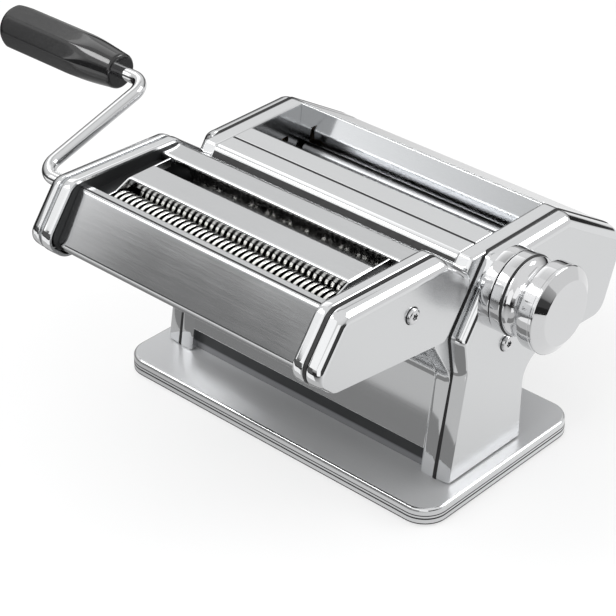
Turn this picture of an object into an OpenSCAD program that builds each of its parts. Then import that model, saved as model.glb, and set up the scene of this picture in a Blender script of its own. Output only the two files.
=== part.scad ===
// Hand-cranked pasta roller machine with a lift-off cutter attachment.
// X runs across the machine, the regulator knob on +X and the crank on -X.
// Y runs from the cutter side (-Y) to the rear (+Y), Z is up.
// The origin is the centre of the base's underside.

/* [Base] */
// Width of the base across the machine
base_w = 230; // [224:1:260]
// Depth of the base from front to rear
base_d = 130; // [116:1:160]
// Height of the base's top above the table
base_h = 11.2; // [10.6:0.1:20]
// Corner radius of the base
base_r = 15; // [6:1:24]
// Thickness of the base sheet
base_t = 1.2; // [0.8:0.1:2]
// Gap between the base's rim and the table
base_gap = 1.5; // [0.5:0.1:2.5]
// Radius of a rubber foot
foot_r = 9; // [5:0.5:12]
// Radius of the hole that takes the table clamp's rod
clamp_r = 3.9; // [2.5:0.1:3.9]
// Depth of the hole that takes the table clamp's rod
clamp_len = 32; // [20:1:50]
// Wall of the clamp socket
clamp_wall = 0.8; // [0.6:0.1:0.9]

/* [Body across the machine] */
// Length of the rollers' working barrels
roller_len = 168; // [140:1:168]
// Play between a barrel's end and its side frame
end_play = 2.4; // [1.5:0.1:6]
// Thickness of the two side frames
frame_t = 4; // [3:0.5:5]
// Width of the chromed rim seen from above
rim_w = 9.8; // [9.8:0.1:14]
// How far a side cover stands out of its rim
cover_raise = 9.5; // [9:0.1:14]
// Wall of the rims, covers and caps
shell_t = 1.5; // [1:0.1:2]
// Sheet thickness of the casing plates
sheet_t = 1.2; // [0.8:0.1:1.6]

/* [Body outline] */
// Front edge of the leg where it meets the base
leg_front = 37.6; // [34:0.1:42]
// Rear edge of the leg
leg_rear = 25.8; // [20:0.1:34]
// Height of the machine's top
top_z = 137.5; // [137:0.1:140]
// Front edge of the machine's top
top_front = 13.8; // [13:0.1:14]
// Rear edge of the machine's flat top
top_rear = 58.4; // [58:0.1:66]
// Bevel round the side covers
cover_bevel = 4; // [2:0.5:5]

/* [Smooth rollers] */
// Radius of the smooth rollers
roller_r = 17; // [15.5:0.1:17]
// Height of the rollers' axes
roller_z = 98; // [97:0.5:99]
// Plane where the dough sheet passes between the rollers
nip_y = 46.4; // [46:0.1:47]
// Widest gap between the rollers
gap_max = 4.8; // [3:0.1:5]
// Narrowest gap between the rollers
gap_min = 0.6; // [0.3:0.1:1]
// Radius of the rollers' journals
journal_r = 8; // [7:0.1:8.5]
// Teeth on each roller gear
roller_teeth = 12; // [12:1:12]
// Width of the roller gears
gear_w = 7; // [4:0.5:7]

/* [Thickness regulator] */
// Distance of the regulator shaft behind the base's middle
reg_y = 2.4; // [1:0.1:3]
// Height of the regulator shaft
reg_z = 118.2; // [117:0.1:119]
// Radius of the regulator shaft
reg_r = 5; // [4:0.1:5.4]
// Turn of the knob from the widest to the narrowest setting
reg_turn = 180; // [120:10:200]
// Number of thickness settings
reg_steps = 10; // [6:1:12]
// Radius of the knob's waist
knob_r = 19.8; // [18:0.1:21]
// Radius of the knob's front disc
knob_disc_r = 24.5; // [24:0.1:28]
// Distance from the index ring to the knob's front
knob_len = 32.5; // [30:0.1:36]
// Travel of the knob when it is pulled out
knob_pull = 5; // [3:0.5:5]

/* [Cutter attachment] */
// Pitch of the narrow cutting discs
narrow_pitch = 4; // [3:0.1:5]
// Distance from the ends of the disc rows to the ends of the smooth rollers' barrels
row_margin = 9; // [6:0.5:14]
// Pitch of the wide cutting discs
wide_pitch = 13; // [10:0.5:13]
// Radius of the narrow discs
narrow_r = 11.6; // [11:0.1:11.6]
// Radius of the wide discs
wide_r = 8.5; // [8:0.1:8.7]
// Height of the narrow rollers' axes
narrow_z = 134.3; // [134:0.1:134.6]
// Height of the wide rollers' axes
wide_z = 119.5; // [119:0.1:119.8]
// Distance of the crank-driven narrow roller in front of the middle
narrow_y = 98; // [97:0.1:99]
// Distance of the crank-driven wide roller in front of the middle
wide_y = 59; // [58.6:0.1:59.4]
// How deep the discs of a pair pass into each other
disc_mesh = 1.2; // [0.6:0.1:1.4]
// Thickness of the cutter's end plates
plate_t = 2; // [1.5:0.1:2.5]
// Width of the cap's rim on the cutter
cap_w = 7.2; // [7:0.1:10]
// How far the cap's face stands out of its rim
cap_raise = 9.5; // [9:0.1:14]
// How far the attachment lifts off
cutter_lift = 40; // [30:1:60]

/* [Crank] */
// Radius of the crank's rod
rod_r = 4; // [3.5:0.1:4.2]
// Length of the crank's arm between its two bends
arm_len = 85.5; // [70:0.5:100]
// Angle of the crank's arm above level
arm_tilt = 16.7; // [0:0.1:30]
// Distance of the arm from the cutter's cap
arm_out = 35.4; // [30:0.1:50]
// Depth that the crank's rod enters its socket
socket_depth = 19; // [14:1:22]
// Radius of the crank's bends
bend_r = 11; // [8:0.5:16]
// Largest radius of the grip across its corners
grip_r = 14; // [12:0.1:16]
// Radius of the grip's narrow end
grip_neck_r = 10.4; // [8:0.1:11]
// Length of the grip
grip_len = 96; // [80:1:120]
// Bare rod between the arm and the grip
grip_gap = 21; // [15:1:30]

/* [Fits] */
// Radial clearance of shafts and rods in their holes
run_fit = 0.06; // [0.03:0.01:0.1]
// Clearance between a sliding block and its window
slide_fit = 0.06; // [0.03:0.01:0.1]
// Play between pieces that only pass each other
play = 0.4; // [0.3:0.1:0.6]

/* [Hidden] */
$fn = 48;

// Half widths, measured from the machine's middle plane
frame_in = roller_len / 2 + end_play;
frame_out = frame_in + frame_t;
rim_in = frame_in;
rim_out = rim_in + rim_w;
cover_out = rim_out + cover_raise;
cover_inner = cover_out - shell_t;
sheet_x = frame_in;
narrow_count = floor((roller_len - 2 * row_margin) / narrow_pitch + 0.5);
disc_len = narrow_pitch * (narrow_count - 0.5);
wide_count = floor(disc_len / wide_pitch + 0.5);
guide_x = disc_len / 2 + 2;
core_x = disc_len / 2 + 1.5;
cap_in = frame_in;
plate_in = cap_in;
plate_out = plate_in + plate_t;
cap_rim = cap_in + cap_w;
cap_out = cap_rim + cap_raise;
panel_x = cap_in;

// Roller axes and the travel of the front roller
gap_travel = gap_max - gap_min;
front_y = nip_y - gap_max / 2 - roller_r;
rear_y = nip_y + gap_max / 2 + roller_r;
mesh_min = 2 * roller_r + gap_min;

// Bearing blocks of the front roller
block_w = 28;
block_low = 20;
block_high = reg_z - roller_z + 2.4;
block_in = frame_in + 0.2;
block_out = frame_out + 4.2;

// Cutting rollers
narrow_span = 2 * narrow_r - disc_mesh;
wide_span = 2 * wide_r - disc_mesh;
narrow_drive = [-narrow_y, narrow_z];
narrow_mate = [narrow_span - narrow_y, narrow_z];
wide_drive = [-wide_y, wide_z];
wide_mate = [wide_span - wide_y, wide_z];
hub_r = 7;
pin_r = 5;
hex_r = 3.9;
hex_len = 5.6;

// Screws
screw_r = 2;
screw_head_r = 4.4;
cover_screw = [6.5, 81.3];
cap_screw = [-70.2, 132.6];

// ---- Small functions ----

// Unit vector along v
function unit(v) = v / norm(v);

// Signed turn from angle a to angle b, between -180 and 180 degrees
function turn(a, b) = (b - a + 540) % 360 - 180;

// Points of the arc that rounds corner b between a and c
function arc_at(a, b, c, r, n) = let(
    u = unit(a - b), w = unit(c - b), half = acos(u * w) / 2,
    o = b + unit(u + w) * r / sin(half), s = b + u * r / tan(half), e = b + w * r / tan(half),
    a0 = atan2(s.y - o.y, s.x - o.x), da = turn(a0, atan2(e.y - o.y, e.x - o.x)))
    [for (i = [0:n]) o + r * [cos(a0 + da * i / n), sin(a0 + da * i / n)]];

// Closed outline p with its corners rounded by the radii r
function rounded(p, r, n = 5) = [for (i = [0:len(p) - 1]) each (r[i] == 0 ? [p[i]] :
    arc_at(p[(i + len(p) - 1) % len(p)], p[i], p[(i + 1) % len(p)], r[i], n))];

// Open path p with its inner corners rounded by the radii r
function rounded_path(p, r, n = 5) = [for (i = [0:len(p) - 1])
    each (r[i] == 0 ? [p[i]] : arc_at(p[i - 1], p[i], p[i + 1], r[i], n))];

// Point b moved to the left of the path a-b-c by t
function shifted(a, b, c, t) = let(u = unit(b - a), w = unit(c - b), nu = [-u.y, u.x], nw = [-w.y, w.x])
    b + t * (nu + nw) / (1 + nu * nw);

// Anticlockwise outline p moved inwards by t
function inset(p, t) = [for (i = [0:len(p) - 1])
    shifted(p[(i + len(p) - 1) % len(p)], p[i], p[(i + 1) % len(p)], t)];

// Outline of a sheet of thickness t that lies to the left of the open path p
function strip(p, t) = let(n = len(p)) concat(p, [for (i = [n - 1:-1:0])
    shifted(i == 0 ? p[0] - (p[1] - p[0]) : p[i - 1], p[i],
            i == n - 1 ? p[i] + (p[i] - p[i - 1]) : p[i + 1], t)]);

// ---- Outlines in the side view, as [y, z] points ----

// Corners of the body, anticlockwise from the leg's front foot
body_corners = [[-leg_front, base_h], [leg_rear, base_h], [leg_rear, 62], [97, 58], [114.4, 104.4],
                [top_rear, top_z], [-top_front, top_z], [-43, 97.8], [-28, 72]];
body_radii = [0, 0, 14, 12, 14, 8, 2, 4, 14];
// Corners of the raised side cover, which stays back from the cutter
cover_corners = [[-leg_front + 0.5, base_h + 0.3], [leg_rear - 0.5, base_h + 0.3], [leg_rear - 0.5, 61.5],
                 [96.7, 58.5], [113.9, 104.1], [top_rear, top_z - 0.4], [-3.5, top_z - 0.4],
                 [-30.5, 97.5], [-26.5, 74]];
cover_radii = [0, 0, 14, 12, 14, 8, 6, 6, 10];
// Corners of the cutter's end caps, anticlockwise from the bottom tip
cap_corners = [[-128.2, 114.7], [-40.2, 103.2], [-17.7, 133.7], [-43.8, 153], [-119.7, 156.1],
    [-141.5, 126.7]];
cap_radii = [10, 6, 9, 9, 10, 10];

// Full outline of the body moved inwards by t
function body_line(t) = rounded(inset(body_corners, t), [for (i = [0:8])
    body_radii[i] == 0 ? 0 : max(0.6, body_radii[i] + ((i == 2 || i == 8) ? t : -t))]);
// Full outline of the raised cover moved inwards by t
function cover_line(t) = rounded(inset(cover_corners, t), [for (i = [0:8])
    cover_radii[i] == 0 ? 0 : max(0.6, cover_radii[i] + ((i == 2 || i == 8) ? t : -t))]);
// Full outline of the cap moved inwards by t
function cap_line(t) = rounded(inset(cap_corners, t), [for (r = cap_radii) max(0.6, r - t)]);

// ---- Shared shapes ----

// Children drawn in the side view, extruded from x0 to x1
module side_slab(x0, x1) {
    translate([x0, 0, 0])
        rotate([90, 0, 90])
            linear_extrude(x1 - x0)
                children();
}

// Solid between side outline p at x0 and side outline q at x1, whose ends fan out from [y, z] point c
module side_loft(p, x0, q, x1, c) {
    n = len(p);
    polyhedron(points = concat([for (a = p) [x0, a.x, a.y]], [for (a = q) [x1, a.x, a.y]],
                               [[x0, c.x, c.y], [x1, c.x, c.y]]),
               faces = [for (i = [0:n - 1]) let(j = (i + 1) % n)
                   each [[i, n + i, n + j], [i, n + j, j], [2 * n, i, j], [2 * n + 1, n + j, n + i]]]);
}

// Round bar along X at [y, z] point c, from x0 to x1
module bar(c, r, x0, x1) {
    translate([x0, c.x, c.y])
        rotate([0, 90, 0])
            cylinder(r = r, h = x1 - x0);
}

// Solid of revolution about an X axis at c, from [x, radius] points
module turned(c, profile) {
    translate([0, c.x, c.y])
        rotate([0, 90, 0])
            rotate_extrude($fn = 64)
                polygon([for (p = profile) [p.y, p.x]]);
}

// Children and their copy on the other side of the machine
module both_sides() {
    children();
    mirror([1, 0, 0])
        children();
}

// Points of a straight-flanked gear
function gear_points(teeth, r_out, r_root, tip, root, phase) = [for (i = [0:teeth - 1])
    let(a = 360 * i / teeth + phase, ta = tip / r_out * 90 / PI, ra = root / r_root * 90 / PI)
    each [r_root * [cos(a - ra), sin(a - ra)], r_out * [cos(a - ta), sin(a - ta)],
          r_out * [cos(a + ta), sin(a + ta)], r_root * [cos(a + ra), sin(a + ra)]]];

// Gear about an X axis at c, between x0 and x1, with a bore
module gear(c, teeth, r_out, r_root, tip, root, phase, bore, x0, x1) {
    difference() {
        translate([0, c.x, c.y])
            side_slab(x0, x1)
                polygon(gear_points(teeth, r_out, r_root, tip, root, phase));
        bar(c, bore, x0 - 1, x1 + 1);
    }
}

// Wire coil about the Z axis
module coil(r, wire_r, turns, length) {
    sides = 6;
    steps = 14 * turns;
    rise = length - 2 * wire_r;
    ring = [for (i = [0:steps]) let(a = 360 * turns * i / steps, z = wire_r + rise * i / steps)
        for (k = [0:sides - 1]) let(b = 360 * k / sides, q = r + wire_r * cos(b))
            [q * cos(a), q * sin(a), z + wire_r * sin(b)]];
    polyhedron(points = ring, faces = concat(
        [[for (k = [0:sides - 1]) k]],
        [[for (k = [sides - 1:-1:0]) steps * sides + k]],
        [for (i = [0:steps - 1], k = [0:sides - 1]) let(a = i * sides, b = a + sides, n = (k + 1) % sides)
            [a + k, b + k, b + n, a + n]]));
}

// Pan-head screw on +X with a hexagon recess, its head's back at x0, its shank of length len
module screw(c, x0, len) {
    difference() {
        union() {
            turned(c, [[x0, 0], [x0, screw_head_r], [x0 + 1.2, screw_head_r], [x0 + 2.2, screw_head_r - 1],
                       [x0 + 2.2, 0]]);
            bar(c, screw_r, x0 - len, x0 + 0.1);
        }
        translate([x0 + 0.8, c.x, c.y])
            rotate([0, 90, 0])
                cylinder(r = 1.7, h = 3, $fn = 6);
    }
}

// ---- Base ----

foot_x = base_w / 2 - foot_r - base_t - 6;
foot_y = base_d / 2 - foot_r - base_t - 6;
clamp_z = base_h - base_t - clamp_r - clamp_wall;

// Plan outline of the base moved inwards by t
function base_line(t) = let(x = base_w / 2 - t, y = base_d / 2 - t)
    rounded([[-x, -y], [x, -y], [x, y], [-x, y]], [for (i = [0:3]) base_r - t], 8);

module base_plate() {
    color("silver")
        difference() {
            translate([0, 0, base_gap])
                linear_extrude(base_h - base_gap)
                    polygon(base_line(0));
            translate([0, 0, base_gap - 1])
                linear_extrude(base_h - base_t - base_gap + 1)
                    polygon(base_line(base_t));
            translate([0, base_d / 2 + 1, clamp_z])
                rotate([90, 0, 0])
                    cylinder(r = clamp_r + clamp_wall, h = base_t + 2);
        }
}

module rubber_feet() {
    color("dimgray")
        for (p = [[0, 0], [-foot_x, -foot_y], [foot_x, -foot_y], [-foot_x, foot_y], [foot_x, foot_y]])
            translate([p.x, p.y, 0])
                cylinder(r = foot_r, h = base_h - base_t);
}

module clamp_socket() {
    color("gray")
        difference() {
            translate([0, base_d / 2, clamp_z])
                rotate([90, 0, 0])
                    cylinder(r = clamp_r + clamp_wall, h = clamp_len + 2);
            translate([0, base_d / 2 + 1, clamp_z])
                rotate([90, 0, 0])
                    cylinder(r = clamp_r, h = clamp_len + 1);
        }
}

// ---- Side frames ----

window_front = front_y - block_w / 2 - slide_fit;
window_rear = front_y + block_w / 2 + gap_travel + slide_fit;
window_low = roller_z - block_low - slide_fit;
window_high = roller_z + block_high + slide_fit;
bush_r = journal_r + 3;
reg_bush_r = reg_r + 3;
frame_inset = shell_t;
rod_spots = [[94, 84], [-12, 84], [4, 32]];
frame_rod_r = 4;

// Side frame on +X
module frame_right() {
    color("darkgray")
        difference() {
            side_slab(frame_in, frame_out)
                difference() {
                    polygon(body_line(frame_inset));
                    translate([window_front, window_low])
                        square([window_rear - window_front, window_high - window_low]);
                }
            bar([rear_y, roller_z], bush_r, frame_in - 1, frame_out + 1);
            bar([reg_y, reg_z], reg_bush_r, frame_in - 1, frame_out + 1);
        }
}

module frame_left() {
    mirror([1, 0, 0])
        frame_right();
}

module frame_rods() {
    color("silver")
        for (c = rod_spots)
            bar(c, frame_rod_r, -frame_in, frame_in);
}

module roller_bushes() {
    color("goldenrod")
        both_sides()
            difference() {
                turned([rear_y, roller_z], [[frame_in, 0], [frame_in, bush_r], [frame_out, bush_r],
                    [frame_out, bush_r + 2], [frame_out + 2, bush_r + 2], [frame_out + 2, 0]]);
                bar([rear_y, roller_z], journal_r + run_fit, frame_in - 1, frame_out + 3);
            }
}

module regulator_bushes() {
    color("goldenrod")
        both_sides()
            difference() {
                bar([reg_y, reg_z], reg_bush_r, frame_in, frame_out);
                bar([reg_y, reg_z], reg_r + run_fit, frame_in - 1, frame_out + 1);
            }
}

// ---- Casing sheets ----

sheet_inset = 0.3;
skirt_z = 25;
hopper_lip = [43.5, 118.4];
skin_line = inset(body_corners, sheet_inset);

module front_sheet() {
    low = skin_line[0] + (skin_line[8] - skin_line[0]) * (skirt_z - base_h) / (skin_line[8].y - base_h);
    path = [[-0.6, skin_line[6].y], skin_line[6], skin_line[7], skin_line[8], low];
    color("lightgray")
        side_slab(-sheet_x, sheet_x)
            polygon(strip(rounded_path(path, [0, 5, 4, 14, 0]), sheet_t));
}

module front_skirt() {
    color("dimgray")
        side_slab(-sheet_x, sheet_x)
            translate([-leg_front + 5.4, base_h])
                square([sheet_t, skirt_z - base_h + 4]);
}

module top_plate() {
    path = [[hopper_lip.x - 0.4, hopper_lip.y - 5], hopper_lip, [14.8, skin_line[5].y], [0.6, skin_line[5].y],
            [0.6, skin_line[5].y - 6]];
    color("lightgray")
        side_slab(-sheet_x, sheet_x)
            polygon(strip(rounded_path(path, [0, 1.5, 3, 1.5, 0]), sheet_t));
}

module hopper_plate() {
    path = [[top_rear - 1.6, skin_line[5].y], [top_rear - 3.6, roller_z + 17.4]];
    color("gray")
        side_slab(-sheet_x, sheet_x)
            polygon(strip(path, sheet_t));
}

module rear_casing() {
    path = [[64, skin_line[3].y + 1.9], skin_line[3], skin_line[4], skin_line[5],
        [top_rear - 0.2, skin_line[5].y]];
    color("lightgray")
        side_slab(-sheet_x, sheet_x)
            polygon(strip(rounded_path(path, [0, 12, 14, 0, 0]), sheet_t));
}

module rear_scraper() {
    color("whitesmoke")
        side_slab(-frame_in, frame_in)
            polygon([for (p = [[-9.4, -14.9], [-6, -19.5], [-2, -19.5], [-6.4, -16.5]])
                [rear_y + p.x, roller_z + p.y]]);
}

// ---- Side rims and covers ----

// Chromed rim on +X
module side_rim_right() {
    color("silver") {
        side_slab(rim_in, rim_out - shell_t)
            difference() {
                polygon(body_line(0));
                polygon(body_line(shell_t));
            }
        side_slab(rim_out - shell_t, rim_out)
            difference() {
                polygon(body_line(0));
                polygon(cover_line(shell_t + 1));
            }
    }
}

module side_rim_left() {
    mirror([1, 0, 0])
        side_rim_right();
}

// Raised cover on +X with the holes given as [y, z, radius]
module side_cover(holes) {
    flank = cover_out - cover_bevel - 1;
    color("silver")
        difference() {
            union() {
                side_slab(rim_out, flank)
                    polygon(cover_line(0));
                side_loft(cover_line(0), flank, cover_line(cover_bevel), cover_out, [5, 70]);
            }
            side_slab(rim_out - 1, flank - 0.5)
                polygon(cover_line(shell_t));
            side_slab(rim_out - 1, cover_inner)
                polygon(cover_line(shell_t + cover_bevel));
            for (h = holes)
                bar([h[0], h[1]], h[2], rim_out, cover_out + 1);
        }
}

module side_cover_right() {
    side_cover([[reg_y, reg_z, reg_r + 1], [cover_screw.x, cover_screw.y, screw_r + 0.2]]);
}

module side_cover_left() {
    mirror([1, 0, 0])
        side_cover([[rear_y, roller_z, journal_r + 1], [cover_screw.x, cover_screw.y, screw_r + 0.2]]);
}

module cover_standoffs() {
    color("gray")
        both_sides()
            difference() {
                bar(cover_screw, 5, frame_out, cover_inner);
                bar(cover_screw, screw_r, cover_inner - 12.2, cover_inner + 1);
            }
}

module cover_screws() {
    color("silver")
        both_sides()
            screw(cover_screw, cover_out, 13);
}

// ---- Thickness regulator ----

ring_t = 6.5;
ring_r = knob_disc_r - 0.9;
ring_out = cover_out + ring_t;
knob_back = ring_out + 0.5;
knob_front = ring_out + knob_len;
cavity_back = knob_back + 10.4;
collar_x = cavity_back + 10;
key_x = cavity_back - 2;
pin_track = 16;
cap_r = knob_disc_r - 6.6;
cap_t = 4;

module index_ring() {
    color("silver")
        difference() {
            turned([reg_y, reg_z], [[cover_out, reg_r + 2], [cover_out, ring_r], [cover_out + 3.5, ring_r],
                [ring_out, ring_r - 0.9], [ring_out, pin_track + 1.8], [ring_out - 2.5, pin_track + 1.8],
                [ring_out - 2.5, pin_track - 1.8], [ring_out, pin_track - 1.8], [ring_out, reg_r + 2]]);
            for (i = [0:reg_steps - 1])
                translate([0, reg_y, reg_z])
                    rotate([reg_turn * i / (reg_steps - 1), 0, 0])
                        translate([ring_out - 3.5, 0, pin_track])
                            rotate([0, 90, 0])
                                cylinder(r = 1.6, h = 2);
        }
}

module regulator_shaft() {
    color("silver")
        difference() {
            bar([reg_y, reg_z], reg_r, -block_out, collar_x + 3);
            translate([key_x, reg_y, reg_z - reg_r - 1])
                cylinder(r = 1.5, h = 2 * reg_r + 2);
        }
}

// Flat-follower cam whose reach towards +Y grows evenly with the turn
cam_reach = front_y - block_w / 2 - reg_y - 0.1;
cam_rise = gap_travel / (reg_turn * PI / 180);
function cam_h(a) = a <= reg_turn ? cam_reach + gap_travel * a / reg_turn
    : cam_reach + gap_travel * (1 + cos(180 * (a - reg_turn) / (360 - reg_turn))) / 2;
function cam_slope(a) = a <= reg_turn ? cam_rise
    : -gap_travel * sin(180 * (a - reg_turn) / (360 - reg_turn)) * 90 / (360 - reg_turn);
function cam_points() = [for (a = [360:-6:6]) let(h = cam_h(a), s = cam_slope(a))
    [h * cos(-a) - s * sin(a), h * sin(-a) - s * cos(a)]];

module regulator_cams() {
    color("gray")
        both_sides()
            difference() {
                translate([0, reg_y, reg_z])
                    side_slab(frame_out + 0.5, block_out)
                        polygon(cam_points());
                bar([reg_y, reg_z], reg_r, frame_out, block_out + 1);
            }
}

module shaft_collar() {
    color("gray")
        difference() {
            bar([reg_y, reg_z], 9, collar_x, collar_x + 1.5);
            bar([reg_y, reg_z], reg_r, collar_x - 1, collar_x + 3);
        }
}

module shaft_key() {
    color("gray")
        translate([key_x, reg_y, reg_z - 8])
            cylinder(r = 1.5, h = 16);
}

module knob_body() {
    color("silver")
        difference() {
            turned([reg_y, reg_z], [[knob_back, 0], [knob_back, knob_r + 2.4],
                [knob_back + 3.7, knob_r + 1.2], [knob_back + 3.9, knob_r], [knob_back + 4.5, knob_r],
                [knob_back + 4.8, knob_r + 0.9], [knob_front - 24, knob_r + 0.2], [knob_front - 21, knob_r],
                [knob_front - 18, knob_r + 0.6], [knob_front - 15.5, knob_r + 1.8],
                [knob_front - 13.8, knob_disc_r - 0.8],
                [knob_front - 13.2, knob_disc_r - 0.1], [knob_front - 8, knob_disc_r],
                [knob_front - 4.1, knob_disc_r], [knob_front, cap_r + 0.1], [knob_front, 0]]);
            bar([reg_y, reg_z], reg_r + run_fit, knob_back - 1, cavity_back + 1);
            bar([reg_y, reg_z], 11, cavity_back, knob_front - cap_t + 1);
            bar([reg_y, reg_z], cap_r + 0.02, knob_front - cap_t, knob_front + 1);
            translate([key_x - knob_pull - 2, reg_y - 1.6, reg_z - 8.2])
                cube([cavity_back - key_x + knob_pull + 3, 3.2, 16.4]);
            bar([reg_y, reg_z + pin_track], 1.5, knob_back - 1, knob_back + 6);
        }
}

module knob_cap() {
    color("gainsboro")
        bar([reg_y, reg_z], cap_r, knob_front - cap_t, knob_front);
}

module index_pin() {
    color("gray")
        bar([reg_y, reg_z + pin_track], 1.5, ring_out - 2.2, knob_back + 6);
}

module knob_spring() {
    color("dimgray")
        translate([cavity_back + 0.1, reg_y, reg_z])
            rotate([0, 90, 0])
                coil(7.4, 0.8, 4, collar_x - cavity_back - 0.2);
}

// ---- Carriage of the front roller ----

spring_z = roller_z - 14;
spring_x = (frame_in + frame_out) / 2;
spring_hole = 12;

module bearing_blocks() {
    color("goldenrod")
        both_sides()
            difference() {
                side_slab(block_in, block_out)
                    translate([front_y - block_w / 2, roller_z - block_low])
                        square([block_w, block_low + block_high]);
                bar([front_y, roller_z], journal_r + run_fit, block_in - 1, block_out + 1);
                translate([spring_x, front_y + block_w / 2 + 1, spring_z])
                    rotate([90, 0, 0])
                        cylinder(r = 1.7, h = spring_hole + 1);
            }
}

module front_scraper() {
    color("whitesmoke")
        side_slab(-block_in, block_in)
            polygon([for (p = [[9.4, -14.9], [6.4, -16.5], [2, -19.5], [6, -19.5]])
                [front_y + p.x, roller_z + p.y]]);
}

module block_springs() {
    length = window_rear - front_y - block_w / 2 + spring_hole - 0.2;
    turns = 9;
    color("dimgray")
        both_sides()
            translate([spring_x, window_rear - 0.1, spring_z])
                rotate([90, 0, 0])
                    rotate_extrude()
                        polygon(concat([[0.7, 0], [1.1, 0]],
                            [for (i = [0:turns - 1]) each [[1.5, length * (i + 0.5) / turns],
                                                           [1.1, length * (i + 1) / turns]]],
                            [[0.7, length]]));
}

// ---- Smooth rollers ----

gear_in = block_out + 1;
gear_out = gear_in + gear_w;
gear_tip_r = 20;
gear_root_r = mesh_min - gear_tip_r - 0.4;

module front_roller() {
    c = [front_y, roller_z];
    color("gainsboro") {
        bar(c, roller_r, -roller_len / 2, roller_len / 2);
        bar(c, journal_r, roller_len / 2, block_out + 0.6);
        bar(c, journal_r, -gear_out, -roller_len / 2);
    }
}

module rear_roller() {
    c = [rear_y, roller_z];
    end = -cover_out + 1.5;
    color("gainsboro")
        difference() {
            union() {
                bar(c, roller_r, -roller_len / 2, roller_len / 2);
                bar(c, journal_r, roller_len / 2, frame_out + 2.6);
                bar(c, journal_r, end, -roller_len / 2);
            }
            drive_socket(c, end);
        }
}

module front_roller_gear() {
    color("dimgray")
        gear([front_y, roller_z], roller_teeth, gear_tip_r, gear_root_r, 1.3, 4.2, 0, journal_r,
             -gear_out, -gear_in);
}

module rear_roller_gear() {
    color("dimgray")
        gear([rear_y, roller_z], roller_teeth, gear_tip_r, gear_root_r, 1.3, 4.2, 180 / roller_teeth,
             journal_r, -gear_out, -gear_in);
}

// ---- Cutter brackets on the body ----

bracket_in = frame_in - 6.6;
bracket_out = frame_in - 0.2;
post = [(bracket_in + bracket_out) / 2, -49.5];
post_r = 2.4;
post_top = 110.5;
bracket_top = 99.5;
socket_low = 105.8;
socket_top = 112;

module cutter_brackets() {
    upper = skin_line[7] + (skin_line[8] - skin_line[7]) * 0.25;
    lower = skin_line[7] + (skin_line[8] - skin_line[7]) * 0.5;
    color("gray")
        both_sides() {
            side_slab(bracket_in, bracket_out)
                polygon([[-53, 95], lower, upper, [-46, bracket_top], [-53, bracket_top]]);
            translate([post.x, post.y, bracket_top - 1])
                cylinder(r = post_r, h = post_top - bracket_top + 1);
        }
}

// ---- Cutter attachment ----

cutter_rod_spots = [[-116, 126], [-72, 113], [-33, 131]];
cutter_rod_r = 3;

// End plate on +X, with journal holes of radius hub_r where drive is true
module cutter_plate(drive) {
    color("silver")
        difference() {
            side_slab(plate_in, plate_out)
                polygon(cap_line(shell_t + 0.5));
            bar(narrow_drive, (drive ? hub_r : pin_r) + run_fit, plate_in - 1, plate_out + 1);
            bar(narrow_mate, pin_r + run_fit, plate_in - 1, plate_out + 1);
            bar(wide_drive, (drive ? hub_r : pin_r) + run_fit, plate_in - 1, plate_out + 1);
            bar(wide_mate, pin_r + run_fit, plate_in - 1, plate_out + 1);
        }
}

module cutter_plate_right() {
    cutter_plate(false);
}

module cutter_plate_left() {
    mirror([1, 0, 0])
        cutter_plate(true);
}

// Chromed end cap on +X with the holes given as [y, z, radius]
module cutter_cap(holes) {
    flank = cap_out - 3;
    color("silver")
        difference() {
            union() {
                side_slab(cap_in, cap_rim)
                    polygon(cap_line(0));
                side_slab(cap_rim, flank)
                    polygon(cap_line(0.5));
                side_loft(cap_line(0.5), flank, cap_line(3), cap_out, [-80, 130]);
            }
            difference() {
                side_slab(cap_in - 1, flank - 0.5)
                    polygon(cap_line(shell_t + 0.5));
                bar(cap_screw, 4.5, cap_out - 5.5, cap_out);
            }
            difference() {
                side_slab(cap_in - 1, cap_out - shell_t)
                    polygon(cap_line(shell_t + 3));
                bar(cap_screw, 4.5, cap_out - 5.5, cap_out);
            }
            for (h = holes)
                bar([h[0], h[1]], h[2], cap_in, cap_out + 1);
        }
}

module cutter_cap_right() {
    cutter_cap([[cap_screw.x, cap_screw.y, screw_r + 0.05]]);
}

module cutter_cap_left() {
    mirror([1, 0, 0])
        cutter_cap([[cap_screw.x, cap_screw.y, screw_r + 0.05], [narrow_drive.x, narrow_drive.y, hub_r + 1],
                    [wide_drive.x, wide_drive.y, hub_r + 1]]);
}

module cutter_front_panel() {
    path = [[-109, 146], [-109.5, 150.6], [-114.6, 151], [-132.2, 124.4], [-129.5, 120.6], [-121, 119.4]];
    color("lightgray")
        side_slab(-panel_x, panel_x)
            polygon(strip(rounded_path(path, [0, 1.2, 1.6, 1.6, 1.6, 0]), 1));
}

module cutter_mid_guide() {
    path = [[-69.5, 146.4], [-69.5, 150], [-88.7, 150], [-88.7, 145.5]];
    color("lightgray")
        side_slab(-guide_x, guide_x)
            polygon(strip(rounded_path(path, [0, 1.5, 1.5, 0]), 1));
}

module cutter_rear_panel() {
    path = [[-41.3, 105.4], [-19.9, 133.5], [-42.6, 149.6], [-57, 150], [-55.5, 131]];
    color("lightgray")
        side_slab(-panel_x, panel_x)
            polygon(strip(rounded_path(path, [0, 6, 4, 1.5, 0]), 1));
}

// Guides at both ends of the feed slots, each with a shelf out to its end plate
module cutter_side_guides() {
    color("lightgray")
        both_sides() {
            side_slab(guide_x, guide_x + 1)
                polygon([[-107, 144.6], [-58, 144.6], [-58, 149.6], [-89, 149.6], [-98.5, 145.8],
                    [-107, 145.8]]);
            side_slab(guide_x + 1, cap_in)
                polygon([[-107, 144.6], [-58, 144.6], [-58, 145.8], [-107, 145.8]]);
        }
}

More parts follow.
